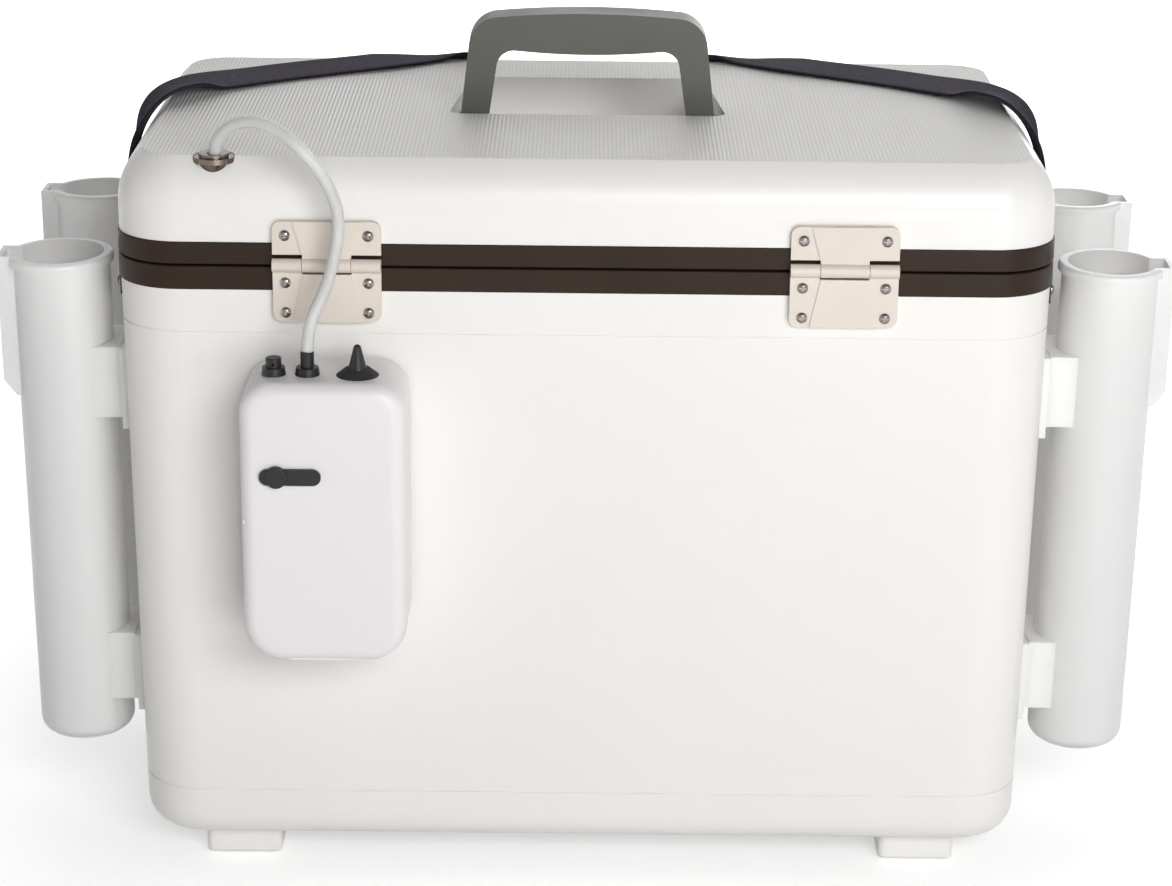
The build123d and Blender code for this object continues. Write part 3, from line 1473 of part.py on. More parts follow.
with BuildPart() as strap_clamp:
    with BuildSketch(Plane.XY.offset(clamp_low)):
        with Locations((-clamp_face_x + clamp_thick / 2, strap_side_y)):
            Rectangle(clamp_thick, 2 * clamp_half)
        pad_inner = wall_x(clamp_high)
        pad_centre = (pad_inner + clamp_face_x) / 2
        pad_half = (clamp_half - strap_width / 2 - part_gap) / 2
        for step in both_sides:
            with Locations((-pad_centre, strap_side_y + step * (clamp_half - pad_half))):
                Rectangle(clamp_face_x - pad_inner, 2 * pad_half)
    extrude(amount=clamp_high - clamp_low)
    with BuildSketch(*clamp_planes[:2]):
        Circle(small_hole)
    extrude(amount=-clamp_screw_length, mode=Mode.SUBTRACT)
clamp_left = strap_clamp.part
clamp_right = mirror(clamp_left, about=Plane.YZ)
clamp_left.label = "strap_clamp_left"
clamp_right.label = "strap_clamp_right"
export_step(clamp_left, "parts/strap_clamp_left.step")
export_step(clamp_right, "parts/strap_clamp_right.step")

clamp_screw = wood_screw(clamp_screw_length)
with BuildPart() as strap_clamp_screws:
    with Locations(*clamp_planes):
        add(clamp_screw)
strap_clamp_screws.part.label = "strap_clamp_screws"
export_step(strap_clamp_screws.part, "parts/strap_clamp_screws.step")


# ---- latches ----
def latch_plate(centre):
    """Plate on the lid's far side with a knuckle at each end."""
    plate_low = lid_band_top + seat_gap
    ear_depth = latch_axis_y - lid_depth / 2
    with BuildPart() as plate:
        with BuildSketch(Plane.XZ.offset(-lid_depth / 2)):
            with Locations((centre, (plate_low + latch_plate_top) / 2)):
                RectangleRounded(
                    2 * (latch_half + latch_tab), latch_plate_top - plate_low, latch_plate_corner
                )
        extrude(amount=-latch_plate_thick)
        for side in both_sides:
            with BuildSketch(Plane.YZ.offset(centre + side * (latch_half + part_gap))):
                with Locations((latch_axis_y, latch_axis_z)):
                    Circle(latch_knuckle_radius)
                with Locations((latch_axis_y - ear_depth / 2, latch_axis_z)):
                    Rectangle(ear_depth, 2 * latch_knuckle_radius)
            extrude(amount=side * latch_knuckle_width)
        with BuildSketch(Plane.YZ.offset(centre - latch_half - latch_tab)):
            with Locations((latch_axis_y, latch_axis_z)):
                Circle(latch_pin_radius + hole_gap)
        extrude(amount=2 * (latch_half + latch_tab), mode=Mode.SUBTRACT)
        with BuildSketch(*latch_planes):
            Circle(small_hole)
        extrude(amount=-latch_plate_thick, mode=Mode.SUBTRACT)
    return plate.part


latch_lie = Vector(0, tan(radians(latch_ajar)), -1).normalized()
nose_reach = latch_axis_y - catch_face_y - latch_engage_gap
nose_top_z = latch_axis_z - latch_nose_drop


def latch_flap(centre):
    """Flap with its knuckle and its nose, hanging a little ajar."""
    hang = Plane(
        origin=(centre - latch_half, latch_axis_y, latch_axis_z),
        x_dir=(0, -latch_lie.Z, latch_lie.Y),
        z_dir=(1, 0, 0),
    )
    flap_front = latch_flap_thick - latch_flap_back
    nose_end = latch_nose_drop + latch_nose_height
    with BuildPart() as flap:
        with BuildSketch(hang):
            Circle(latch_knuckle_radius)
            with BuildLine():
                Polyline(
                    (flap_front, 0),
                    (flap_front, -nose_end - latch_lip_start),
                    (flap_front + latch_lip, -latch_flap_length - latch_lip),
                    (flap_front, -latch_flap_length - latch_lip),
                    (-latch_flap_back, -nose_end),
                    (-nose_reach + latch_nose_bevel, -nose_end),
                    (-nose_reach, -latch_nose_drop - latch_nose_edge),
                    (-nose_reach, -latch_nose_drop),
                    (-latch_flap_back, -latch_nose_drop),
                    (-latch_flap_back, 0),
                    (flap_front, 0),
                )
            make_face()
            Circle(latch_pin_radius + run_gap, mode=Mode.SUBTRACT)
        extrude(amount=2 * latch_half)
    return flap.part


def latch_catch(centre):
    """Catch on the box with the ledge that the flap's nose goes under."""
    ledge_low = nose_top_z + latch_engage_gap
    ledge_high = ledge_low + catch_ledge_height
    with BuildPart() as catch:
        with BuildSketch(Plane.XZ.offset(-wall_y(band_bottom))):
            with Locations((centre, (catch_low + ledge_high) / 2)):
                RectangleRounded(
                    2 * (latch_half + latch_tab), ledge_high - catch_low, latch_plate_corner
                )
        extrude(amount=-latch_plate_thick)
        with BuildSketch(Plane.XY.offset(ledge_low)):
            with Locations((centre, catch_face_y + catch_reach / 2)):
                Rectangle(2 * (latch_half + latch_ledge_past), catch_reach)
        extrude(amount=catch_ledge_height)
        with BuildSketch(*catch_planes):
            Circle(small_hole)
        extrude(amount=-latch_plate_thick, mode=Mode.SUBTRACT)
    return catch.part


for side_name, side in (("left", -1), ("right", 1)):
    for piece_name, piece in (
        ("latch_plate_", latch_plate(side * latch_x)),
        ("latch_flap_", latch_flap(side * latch_x)),
        ("latch_catch_", latch_catch(side * latch_x)),
    ):
        piece.label = piece_name + side_name
        export_step(piece, "parts/" + piece_name + side_name + ".step")

with BuildPart() as latch_pins:
    pin_half = latch_half + part_gap + latch_knuckle_width
    for side in both_sides:
        with BuildSketch(Plane.YZ.offset(side * latch_x - pin_half)):
            with Locations((latch_axis_y, latch_axis_z)):
                Circle(latch_pin_radius)
        extrude(amount=2 * pin_half)
latch_pins.part.label = "latch_pins"
export_step(latch_pins.part, "parts/latch_pins.step")

latch_screw = wood_screw(latch_screw_length)
with BuildPart() as latch_screws:
    with Locations(*latch_planes):
        add(latch_screw)
latch_screws.part.label = "latch_screws"
export_step(latch_screws.part, "parts/latch_screws.step")

catch_screw = wood_screw(catch_screw_length)
with BuildPart() as catch_screws:
    with Locations(*catch_planes):
        add(catch_screw)
catch_screws.part.label = "catch_screws"
export_step(catch_screws.part, "parts/catch_screws.step")

# ---- air stone on the tank floor ----
with BuildPart() as air_stone:
    with BuildSketch(Plane((stone_x, stone_y, tank_floor))):
        Circle(stone_radius)
    extrude(amount=stone_height)
    fillet(air_stone.edges().filter_by(GeomType.CIRCLE), stone_round)
    with BuildSketch(Plane((stone_x, stone_y, tank_floor + stone_height))):
        Circle(hose_radius)
    extrude(amount=stone_barb)
air_stone.part.label = "air_stone"
export_step(air_stone.part, "parts/air_stone.step")

# ---- air hose ----
barb_top = tank_floor + stone_height + stone_barb
hose_route = [
    (nozzle_x, fitting_y, nozzle_tip + hose_end_gap),
    (-134.6, -162.4, 309.5),
    (-126.6, -158, 323.4),
    (-121.9, -153.4, 340.7),
    (-119.1, -151.6, 359.9),
    (-125.8, -153.4, 378.4),
    (-136.9, -155.6, 393.6),
    (-150.7, -150.1, 403.2),
    (-164, -140.7, 404.5),
    (-175.5, -132.6, 398.9),
    (-183.5, -123.9, 387.7),
    (-183.5, -112.4, 362),
    (-183.5, -101, 337),
    (-183.5, -90.8, 316),
    (-183, -80.5, 285),
    (-180.5, -76.5, 247),
    (-179, -75.5, 205),
    (-180, -76.5, 163),
    (-182.3, -78.7, 122),
    (stone_x, stone_y, barb_top + hose_end_gap),
]
hose_points = [Vector(*point) for point in hose_route]
hose_radii = []
for before, corner, after in zip(hose_points, hose_points[1:], hose_points[2:]):
    run_in = corner - before
    run_out = after - corner
    half_turn = radians(run_in.get_angle(run_out)) / 2
    hose_radii.append(hose_bend_share * min(run_in.length, run_out.length) / tan(half_turn))
print("hose radii", [round(radius, 1) for radius in hose_radii])
with BuildPart() as air_hose:
    with BuildLine() as hose_line:
        FilletPolyline(*hose_points, radius=hose_radii)
    with BuildSketch(Plane(origin=hose_points[0], z_dir=hose_points[1] - hose_points[0])):
        Circle(hose_radius)
    sweep(path=hose_line.wires()[0])
hose_length = hose_line.wires()[0].length
hose_volume = pi * hose_radius**2 * hose_length
hose_volume_ratio = air_hose.part.volume / hose_volume
print("air hose length", round(hose_length, 1), "volume ratio", round(hose_volume_ratio, 5))
air_hose.part.label = "air_hose"
export_step(air_hose.part, "parts/air_hose.step")
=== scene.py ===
"""Looks of an insulated live-bait box with its air pump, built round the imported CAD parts. Metres."""

import math

import bpy
import numpy as np
from mathutils import Matrix, Vector


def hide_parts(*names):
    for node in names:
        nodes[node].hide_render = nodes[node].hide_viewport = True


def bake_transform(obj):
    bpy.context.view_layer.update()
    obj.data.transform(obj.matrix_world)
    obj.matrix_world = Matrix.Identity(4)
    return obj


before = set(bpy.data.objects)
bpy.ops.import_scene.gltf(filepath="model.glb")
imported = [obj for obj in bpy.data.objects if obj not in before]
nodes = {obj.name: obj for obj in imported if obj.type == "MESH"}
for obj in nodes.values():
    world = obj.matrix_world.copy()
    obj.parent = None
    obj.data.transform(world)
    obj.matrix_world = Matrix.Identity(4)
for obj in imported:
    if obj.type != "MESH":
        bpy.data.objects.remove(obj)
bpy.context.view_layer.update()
scene = bpy.context.scene

# ---------------------------------------------------------------- shader tools


class Finish:
    """A procedural material on one Principled shader, in the coordinates of the parts at rest."""

    def __init__(self, name, colour, rough, specular=0.5, metallic=0.0, coat=0.0, coat_rough=0.1):
        self.material = bpy.data.materials.new(name)
        self.material.use_nodes = True
        self.tree = self.material.node_tree
        self.tree.nodes.clear()
        self.skin = self.node("ShaderNodeBsdfPrincipled")
        out = self.node("ShaderNodeOutputMaterial")
        self.tree.links.new(self.skin.outputs[0], out.inputs["Surface"])
        self.place = self.node("ShaderNodeTexCoord").outputs["Object"]
        self.normal = None
        self.set("Base Color", (*colour, 1.0))
        self.set("Roughness", rough)
        self.set("Specular IOR Level", specular)
        self.set("Metallic", metallic)
        self.set("Coat Weight", coat)
        self.set("Coat Roughness", coat_rough)
        self.colour = colour
        self.rough = rough

    def node(self, kind, **facts):
        made = self.tree.nodes.new(kind)
        for key, value in facts.items():
            setattr(made, key, value)
        return made

    def set(self, socket, value):
        self.skin.inputs[socket].default_value = value

    def feed(self, source, target):
        """Puts a number, colour or another node's output into an input."""
        if hasattr(source, "links"):
            self.tree.links.new(source, target)
        else:
            target.default_value = source

    def math(self, operation, *values):
        made = self.node("ShaderNodeMath", operation=operation)
        for value, target in zip(values, made.inputs):
            self.feed(value, target)
        return made.outputs[0]

    def noise(self, scale, detail=3.0, stretch=(1, 1, 1), rough=0.5):
        place = self.node("ShaderNodeMapping")
        place.inputs["Scale"].default_value = stretch
        self.tree.links.new(self.place, place.inputs["Vector"])
        made = self.node("ShaderNodeTexNoise")
        made.inputs["Scale"].default_value = scale
        made.inputs["Detail"].default_value = detail
        made.inputs["Roughness"].default_value = rough
        self.tree.links.new(place.outputs[0], made.inputs["Vector"])
        return made.outputs[0]

    def pores(self, scale, randomness=1.0):
        made = self.node("ShaderNodeTexVoronoi")
        made.inputs["Scale"].default_value = scale
        made.inputs["Randomness"].default_value = randomness
        self.tree.links.new(self.place, made.inputs["Vector"])
        return made.outputs["Distance"]

    def ramp(self, value, low, high, start=0.0, end=1.0):
        made = self.node("ShaderNodeMapRange", interpolation_type="SMOOTHSTEP")
        self.feed(value, made.inputs["Value"])
        made.inputs["From Min"].default_value = low
        made.inputs["From Max"].default_value = high
        made.inputs["To Min"].default_value = start
        made.inputs["To Max"].default_value = end
        return made.outputs["Result"]

    def mix(self, share, a, b):
        made = self.node("ShaderNodeMix", data_type="RGBA")
        self.feed(share, made.inputs[0])
        for value, target in ((a, made.inputs[6]), (b, made.inputs[7])):
            self.feed(value if hasattr(value, "links") else (*value, 1.0), target)
        return made.outputs[2]

    def paint(self, source):
        self.feed(source, self.skin.inputs["Base Color"])

    def bump(self, height, distance, strength=1.0):
        made = self.node("ShaderNodeBump")
        made.inputs["Strength"].default_value = strength
        made.inputs["Distance"].default_value = distance
        self.feed(height, made.inputs["Height"])
        if self.normal is not None:
            self.tree.links.new(self.normal, made.inputs["Normal"])
        self.normal = made.outputs[0]
        self.tree.links.new(self.normal, self.skin.inputs["Normal"])
        return self

    def axes(self):
        split = self.node("ShaderNodeSeparateXYZ")
        self.tree.links.new(self.place, split.inputs[0])
        return split.outputs

    def drift(self, scale, spread):
        """Slow change of shade over the piece."""
        dark = tuple(c * (1 - spread) for c in self.colour)
        light = tuple(min(1.0, c * (1 + spread)) for c in self.colour)
        self.tone = self.mix(self.ramp(self.noise(scale, 4.0), 0.3, 0.7), dark, light)
        self.paint(self.tone)
        return self

    def wear(self, scale, swing):
        """Uneven gloss."""
        level = self.ramp(self.noise(scale, 5.0), 0.3, 0.7, self.rough - swing, self.rough + swing)
        self.gloss = level
        self.feed(level, self.skin.inputs["Roughness"])
        return self


def moulded(name, colour, rough, drift=0.006, swing=0.04, grain=1400, height=0.00002, **facts):
    """Injection-moulded plastic: slow flow marks, uneven gloss and a fine grain."""
    made = Finish(name, colour, rough, **facts)
    made.drift(7.0, drift)
    made.wear(22.0, swing)
    made.bump(made.noise(grain, 2.0), height, 0.5)
    return made


def inside(made, value, half, soft):
    """1 where a coordinate lies within half of the middle, falling to 0 over soft."""
    return made.ramp(made.math("ABSOLUTE", value), half - soft, half + soft, 1.0, 0.0)


# ---------------------------------------------------------------- materials
white = (0.855, 0.838, 0.815)


def shell_finish():
    made = moulded("white_shell", white, 0.33, grain=420, height=0.00004)
    made.bump(made.noise(60, 1.0, stretch=(1, 1, 0.25)), 0.0001, 0.35)
    return made


def lid_finish():
    """Glossy shoulder with a matte panel on top that has a fine cross-ribbed grain; the panel's colour is painted
    slightly darker as shade on the upward face.
    """
    made = moulded("white_lid", white, 0.33, grain=420, height=0.00004)
    x, y, z = made.axes()
    panel = made.math("MULTIPLY", inside(made, x, 0.2212, 0.0008), inside(made, y, 0.1197, 0.0008))
    panel = made.math("MULTIPLY", panel, made.ramp(z, 0.3806, 0.3810))
    ribs = made.math("SINE", made.math("MULTIPLY", x, 2 * math.pi / 0.0021))
    rows = made.math("SINE", made.math("MULTIPLY", y, 2 * math.pi / 0.0046))
    weave = made.math("MULTIPLY", made.math("ADD", ribs, made.math("MULTIPLY", rows, 0.5)), panel)
    made.bump(weave, 0.00013, 0.6)
    made.feed(made.ramp(panel, 0.0, 1.0, 0.33, 0.55), made.skin.inputs["Roughness"])
    # Painted shade: the top panel's colour is made about 3% darker, standing in for the lesser light on the upward
    # face.
    panel_shaded_white = tuple(c * 0.97 for c in white)
    made.paint(made.mix(made.math("MULTIPLY", panel, 0.9), made.tone, panel_shaded_white))
    return made


def tube_finish():
    """White plastic with a thin wall that lets some light through."""
    made = moulded("white_tube", (0.87, 0.86, 0.845), 0.33, grain=800, height=0.00003)
    made.set("Subsurface Weight", 0.5)
    made.set("Subsurface Scale", 0.012)
    made.set("Subsurface Radius", (1.0, 0.95, 0.9))
    return made


def hinge_finish():
    return moulded("beige_hinge", (0.715, 0.645, 0.57), 0.36, drift=0.03, grain=900, height=0.00003)


def band_finish():
    made = moulded(
        "brown_band", (0.032, 0.020, 0.014), 0.38, drift=0.1, swing=0.07, grain=700, height=0.00003, specular=0.1
    )
    made.bump(made.noise(90, 3.0, stretch=(0.2, 0.2, 1)), 0.00008, 0.3)
    return made


def handle_finish():
    return moulded(
        "grey_handle", (0.098, 0.099, 0.086), 0.5, drift=0.05, swing=0.06, grain=2200, height=0.00005, specular=0.35
    )


def metal_finish(name, colour, rough, scratch=260, height=0.00003):
    made = Finish(name, colour, rough, metallic=1.0)
    made.drift(60.0, 0.08)
    made.wear(240.0, 0.06)
    made.bump(made.noise(scratch, 4.0, stretch=(1, 6, 1)), height, 0.5)
    return made


def rubber_finish(name, colour, rough=0.6):
    made = Finish(name, colour, rough, specular=0.25)
    made.drift(30.0, 0.15)
    made.wear(60.0, 0.1)
    made.bump(made.noise(1600, 3.0), 0.00005, 0.6)
    return made


def foam_finish():
    made = Finish("foam", (0.78, 0.70, 0.48), 0.9, specular=0.2)
    made.drift(20.0, 0.06)
    made.bump(made.pores(520), 0.0004, 0.8)
    return made


def stone_finish():
    made = Finish("air_stone", (0.30, 0.36, 0.42), 0.92, specular=0.2)
    made.drift(160.0, 0.22)
    made.bump(made.pores(900), 0.0006, 1.0)
    made.bump(made.noise(2600, 3.0), 0.0003, 0.8)
    return made


def cell_finish():
    """Dry cells: dark wrap with a paler upper ring."""
    made = Finish("cell_wrap", (0.05, 0.05, 0.055), 0.35, specular=0.5)
    x, y, z = made.axes()
    ring = made.math("MULTIPLY", made.ramp(z, 0.190, 0.1905), made.ramp(z, 0.2005, 0.200))
    made.paint(made.mix(ring, made.colour, (0.42, 0.28, 0.12)))
    made.wear(80.0, 0.08)
    made.bump(made.noise(300, 3.0), 0.00003, 0.4)
    return made


def hose_finish():
    made = Finish("clear_hose", (0.84, 0.84, 0.825), 0.36, specular=0.5)
    made.set("Transmission Weight", 0.38)
    made.set("IOR", 1.38)
    made.drift(45.0, 0.05)
    made.wear(55.0, 0.06)
    made.bump(made.noise(120, 2.0, stretch=(1, 1, 0.4)), 0.00006, 0.3)
    return made


def webbing_finish():
    """Woven webbing, in the strap's own measures: u across and v along, in metres."""
    made = Finish("webbing", (0.030, 0.024, 0.040), 0.85, specular=0.15)
    cloth = made.node("ShaderNodeUVMap", uv_map="cloth").outputs[0]
    weave = made.node("ShaderNodeTexBrick", offset=0.5)
    weave.inputs["Scale"].default_value = 1.0
    weave.inputs["Brick Width"].default_value = 0.0026
    weave.inputs["Row Height"].default_value = 0.0012
    weave.inputs["Mortar Size"].default_value = 0.00016
    weave.inputs["Mortar Smooth"].default_value = 0.8
    weave.inputs["Color1"].default_value = (0.040, 0.029, 0.054, 1)
    weave.inputs["Color2"].default_value = (0.022, 0.016, 0.032, 1)
    weave.inputs["Mortar"].default_value = (0.008, 0.006, 0.012, 1)
    made.tree.links.new(cloth, weave.inputs["Vector"])
    fleck = made.ramp(made.noise(900, 2.0), 0.55, 0.75)
    made.paint(made.mix(made.math("MULTIPLY", fleck, 0.35), weave.outputs["Color"], (0.085, 0.07, 0.105)))
    made.bump(made.math("SUBTRACT", 1.0, weave.outputs["Fac"]), 0.0003, 0.7)
    made.bump(made.noise(2400, 2.0), 0.0001, 0.5)
    made.set("Sheen Weight", 0.04)
    made.set("Sheen Roughness", 0.5)
    return made


slot_finish = {
    "white_plastic": shell_finish(),
    "tube_plastic": tube_finish(),
    "pump_plastic": moulded("pump_case", (0.80, 0.775, 0.78), 0.33, grain=700, height=0.00002),
    "liner_plastic": moulded("liner", (0.80, 0.79, 0.77), 0.42, grain=500, height=0.00005),
    "brown_band": band_finish(),
    "beige_hinge": hinge_finish(),
    "grey_handle": handle_finish(),
    "black_plastic": moulded("black_plastic", (0.018, 0.018, 0.020), 0.34, drift=0.2, grain=1500, specular=0.25),
    "black_rubber": rubber_finish("black_rubber", (0.022, 0.022, 0.024)),
    "gasket_rubber": rubber_finish("gasket_rubber", (0.12, 0.12, 0.12)),
    "clear_hose": hose_finish(),
    "webbing": webbing_finish(),
    "grommet_metal": metal_finish("grommet_metal", (0.13, 0.105, 0.088), 0.18, height=0.00001),
    "steel": metal_finish("screw_steel", (0.22, 0.205, 0.195), 0.18, scratch=900),
    "foam": foam_finish(),
    "stone": stone_finish(),
    "cell_wrap": cell_finish(),
}
lid_skin = lid_finish()

slot_nodes = {
    "tube_plastic": ["rod_holder_", "rod_receivers"],
    "pump_plastic": ["pump_back_cover", "pump_front_case", "pump_bracket"],
    "liner_plastic": ["inner_liner", "lid_liner"],
    "brown_band": ["upper_band", "lower_band"],
    "beige_hinge": ["hinge_lower_leaf", "hinge_upper_leaf"],
    "grey_handle": ["handle"],
    "black_plastic": [
        "strap_clamp_left", "strap_clamp_right", "outlet_nozzle", "spare_outlet_cap",
        "switch_body", "switch_lever", "jack_socket", "jack_cover", "pump_valve_block", "pump_eccentric",
    ],
    "black_rubber": ["switch_boot", "pump_diaphragm"],
    "gasket_rubber": ["lid_gasket"],
    "clear_hose": ["air_hose"],
    "webbing": ["shoulder_strap"],
    "grommet_metal": ["lid_grommet"],
    "steel": ["_screws", "_pins", "battery_contacts", "pump_motor", "strap_clamp_screws"],
    "foam": ["body_foam", "lid_foam"],
    "stone": ["air_stone"],
    "cell_wrap": ["d_cells"],
}


def slot_of(name):
    """The finish that a node takes: the longest match of its name, and white plastic otherwise."""
    found = [(len(key), slot) for slot, keys in slot_nodes.items() for key in keys if key in name]
    return max(found)[1] if found else "white_plastic"


def dress(obj, material):
    obj.data.materials.clear()
    obj.data.materials.append(material)


for name, obj in nodes.items():
    slot = slot_of(name)
    if "_screws" in name or name.endswith("_pins"):
        slot = "steel"
    dress(obj, lid_skin.material if name == "lid_shell" else slot_finish[slot].material)

# ---------------------------------------------------------------- air hose

hose_points = [
    (-0.1355, -0.163, 0.2948), (-0.1346, -0.1624, 0.3095), (-0.1266, -0.158, 0.3234),
    (-0.1219, -0.1534, 0.3407), (-0.1191, -0.1516, 0.3599), (-0.1258, -0.1534, 0.3784),
    (-0.1369, -0.1556, 0.3936), (-0.1507, -0.1501, 0.4032), (-0.164, -0.1407, 0.4045),
    (-0.1755, -0.1326, 0.3989), (-0.1835, -0.1239, 0.3877), (-0.1835, -0.1124, 0.362),
    (-0.1835, -0.101, 0.337), (-0.1835, -0.0908, 0.316), (-0.183, -0.0805, 0.285),
    (-0.1805, -0.0765, 0.247), (-0.179, -0.0755, 0.205), (-0.18, -0.0765, 0.163),
    (-0.1823, -0.0787, 0.122), (-0.1835, -0.08, 0.0834),
]
hose_outer, hose_inner = 0.006, 0.004


def curve_line(points):
    """The points along the smooth line of the route, in metres."""
    data = bpy.data.curves.new("route", "CURVE")
    data.dimensions = "3D"
    line = data.splines.new("NURBS")
    line.points.add(len(points) - 1)
    for target, place in zip(line.points, points):
        target.co = (*place, 1.0)
    line.order_u = 3
    line.use_endpoint_u = True
    line.resolution_u = 16
    holder = bpy.data.objects.new("route", data)
    scene.collection.objects.link(holder)
    bpy.context.view_layer.update()
    mesh = bpy.data.meshes.new_from_object(holder)
    found = np.array([v.co for v in mesh.vertices], float).reshape(-1, 3)
    bpy.data.objects.remove(holder)
    bpy.data.curves.remove(data)
    bpy.data.meshes.remove(mesh)
    return found


def spaced(line, step):
    """The same line with points an even step apart."""
    lengths = np.concatenate([[0], np.cumsum(np.linalg.norm(np.diff(line, axis=0), axis=1))])
    count = max(2, int(round(lengths[-1] / step)) + 1)
    at = np.linspace(0, lengths[-1], count)
    return np.stack([np.interp(at, lengths, line[:, i]) for i in range(3)], 1)


def directions(line):
    ahead = np.gradient(line, axis=0)
    return ahead / np.linalg.norm(ahead, axis=1)[:, None]


def mesh_object(name, points, faces, smooth=True):
    data = bpy.data.meshes.new(name)
    data.from_pydata([tuple(p) for p in points], [], faces)
    data.validate()
    for face in data.polygons:
        face.use_smooth = smooth
    made = bpy.data.objects.new(name, data)
    scene.collection.objects.link(made)
    return made


def hollow_tube(name, line, outer, inner, sides=28):
    """A tube with a bore, its ends cut square, along the line's points."""
    ahead = directions(line)
    side = np.cross(ahead[0], (0, 0, 1.0))
    if np.linalg.norm(side) < 1e-3:
        side = np.cross(ahead[0], (0, 1.0, 0))
    side /= np.linalg.norm(side)
    turns = np.arange(sides) * 2 * math.pi / sides
    rings = {outer: [], inner: []}
    for place, way in zip(line, ahead):
        side = side - way * (side @ way)
        side /= np.linalg.norm(side)
        up = np.cross(way, side)
        round_ring = np.cos(turns)[:, None] * side + np.sin(turns)[:, None] * up
        for radius in rings:
            rings[radius].append(place + round_ring * radius)
    points = np.concatenate([np.concatenate(rings[outer]), np.concatenate(rings[inner])])
    count = len(line)
    shift = count * sides
    faces = []
    for i in range(count - 1):
        for j in range(sides):
            k = (j + 1) % sides
            a, b, c, d = i * sides + j, i * sides + k, (i + 1) * sides + k, (i + 1) * sides + j
            faces.append((a, b, c, d))
            faces.append((d + shift, c + shift, b + shift, a + shift))
    for i, flip in ((0, True), (count - 1, False)):
        for j in range(sides):
            k = (j + 1) % sides
            ring = (i * sides + j, i * sides + k, i * sides + k + shift, i * sides + j + shift)
            faces.append(ring[::-1] if flip else ring)
    return mesh_object(name, points, faces)


hose_line = spaced(curve_line(hose_points), 0.0015)
hose = hollow_tube("clear_air_hose", hose_line, hose_outer / 2, hose_inner / 2)
dress(hose, slot_finish["clear_hose"].material)
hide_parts("air_hose")
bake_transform(hose)

# ---------------------------------------------------------------- shoulder strap

strap_width, strap_thick, strap_length = 0.038, 0.0015, 0.8014
far_crease = 0.1198
crease_bend = 0.018
strap_half = [
    ((-0.2362, -0.047, 0.296), (-1, 0, 0)),
    ((-0.2362, -0.047, 0.319), (-1, 0, 0)),
    ((-0.2362, -0.041, 0.34), (-1, 0, 0)),
    ((-0.2357, -0.028, 0.36), (-0.99, 0, 0.12)),
    ((-0.2308, -0.01, 0.376), (-0.82, 0, 0.57)),
    ((-0.2218, 0.01, 0.3848), (-0.4, 0, 0.92)),
    ((-0.207, 0.036, 0.385), (0, 0, 1)),
    ((-0.178, 0.064, 0.3838), (0, 0, 1)),
    ((-0.15, 0.084, 0.3836), (0, 0, 1)),
    ((-0.117, 0.1034, 0.3839), (0, 0.02, 1)),
    ((-0.095, 0.1218, 0.3834), (0, 0.03, 1)),
    ((-0.078, 0.1326, 0.381), (0, 0.32, 0.95)),
    ((-0.064, 0.1345, 0.367), (0, 0.81, 0.58)),
    ((-0.048, 0.1375, 0.3516), (0, 0.99, 0.11)),
    ((-0.02, 0.1372, 0.342), (0, 1, 0)),
]


def mirrored(stations):
    return [((-p[0], p[1], p[2]), (-n[0], n[1], n[2])) for p, n in reversed(stations)]


def smooth_rows(rows, per_step):
    """A smooth line through every row."""
    rows = np.array(rows, float)
    padded = np.vstack([2 * rows[0] - rows[1], rows, 2 * rows[-1] - rows[-2]])
    out = []
    for i in range(1, len(padded) - 2):
        p0, p1, p2, p3 = padded[i - 1 : i + 3]
        for t in np.arange(per_step) / per_step:
            out.append(
                0.5 * (2 * p1 + (p2 - p0) * t + (2 * p0 - 5 * p1 + 4 * p2 - p3) * t**2
                       + (3 * p1 - p0 - 3 * p2 + p3) * t**3)
            )
    out.append(rows[-1])
    return np.array(out)


def draped(points, flat):
    """Bends what lies flat past the lid's far crease down over the shoulder."""
    past = np.clip(points[:, 1] - far_crease, 0, None) * flat
    turn = past / crease_bend
    points[:, 1] += crease_bend * np.sin(turn) - past
    points[:, 2] -= crease_bend * (1 - np.cos(turn))
    return points


def ribbon(name, stations, width, thick):
    """A flat woven band through the stations, with rounded selvedges and its own u across and v along."""
    rows = smooth_rows([(*p, *n) for p, n in stations], 14)
    centre, face = rows[:, :3], rows[:, 3:]
    face /= np.linalg.norm(face, axis=1)[:, None]
    ahead = directions(centre)
    face = face - ahead * (face * ahead).sum(1)[:, None]
    face /= np.linalg.norm(face, axis=1)[:, None]
    across = np.cross(face, ahead)
    half, rim = width / 2, thick / 2
    outline = []
    steps = np.concatenate([[-1, -0.985, -0.955], np.linspace(-0.9, 0.9, 13), [0.955, 0.985, 1]])
    for share in steps:
        outline.append((share * half, rim * (1.0 if abs(share) < 0.98 else 0.45)))
    loop = outline + [(a, -h) for a, h in reversed(outline)]
    count, ring = len(centre), len(loop)
    points = []
    for i in range(count):
        flat = max(0.0, face[i][2]) ** 4
        points.extend(draped(np.array([centre[i] + across[i] * a + face[i] * h for a, h in loop]), flat))
    faces, marks = [], []
    along = np.concatenate([[0], np.cumsum(np.linalg.norm(np.diff(centre, axis=0), axis=1))])
    for i in range(count - 1):
        for j in range(ring):
            k = (j + 1) % ring
            faces.append((i * ring + j, i * ring + k, (i + 1) * ring + k, (i + 1) * ring + j))
    faces.append(tuple(range(ring))[::-1])
    faces.append(tuple((count - 1) * ring + j for j in range(ring)))
    made = mesh_object(name, points, faces)
    cloth = made.data.uv_layers.new(name="cloth")
    for corner in made.data.loops:
        i, j = divmod(corner.vertex_index, ring)
        cloth.data[corner.index].uv = (along[i], loop[j][0] + half)
    return made, along[-1]


strap, strap_run = ribbon("strap_webbing", strap_half + mirrored(strap_half), strap_width, strap_thick)
dress(strap, slot_finish["webbing"].material)
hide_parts("shoulder_strap")
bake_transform(strap)

# ---------------------------------------------------------------- floor, light and camera


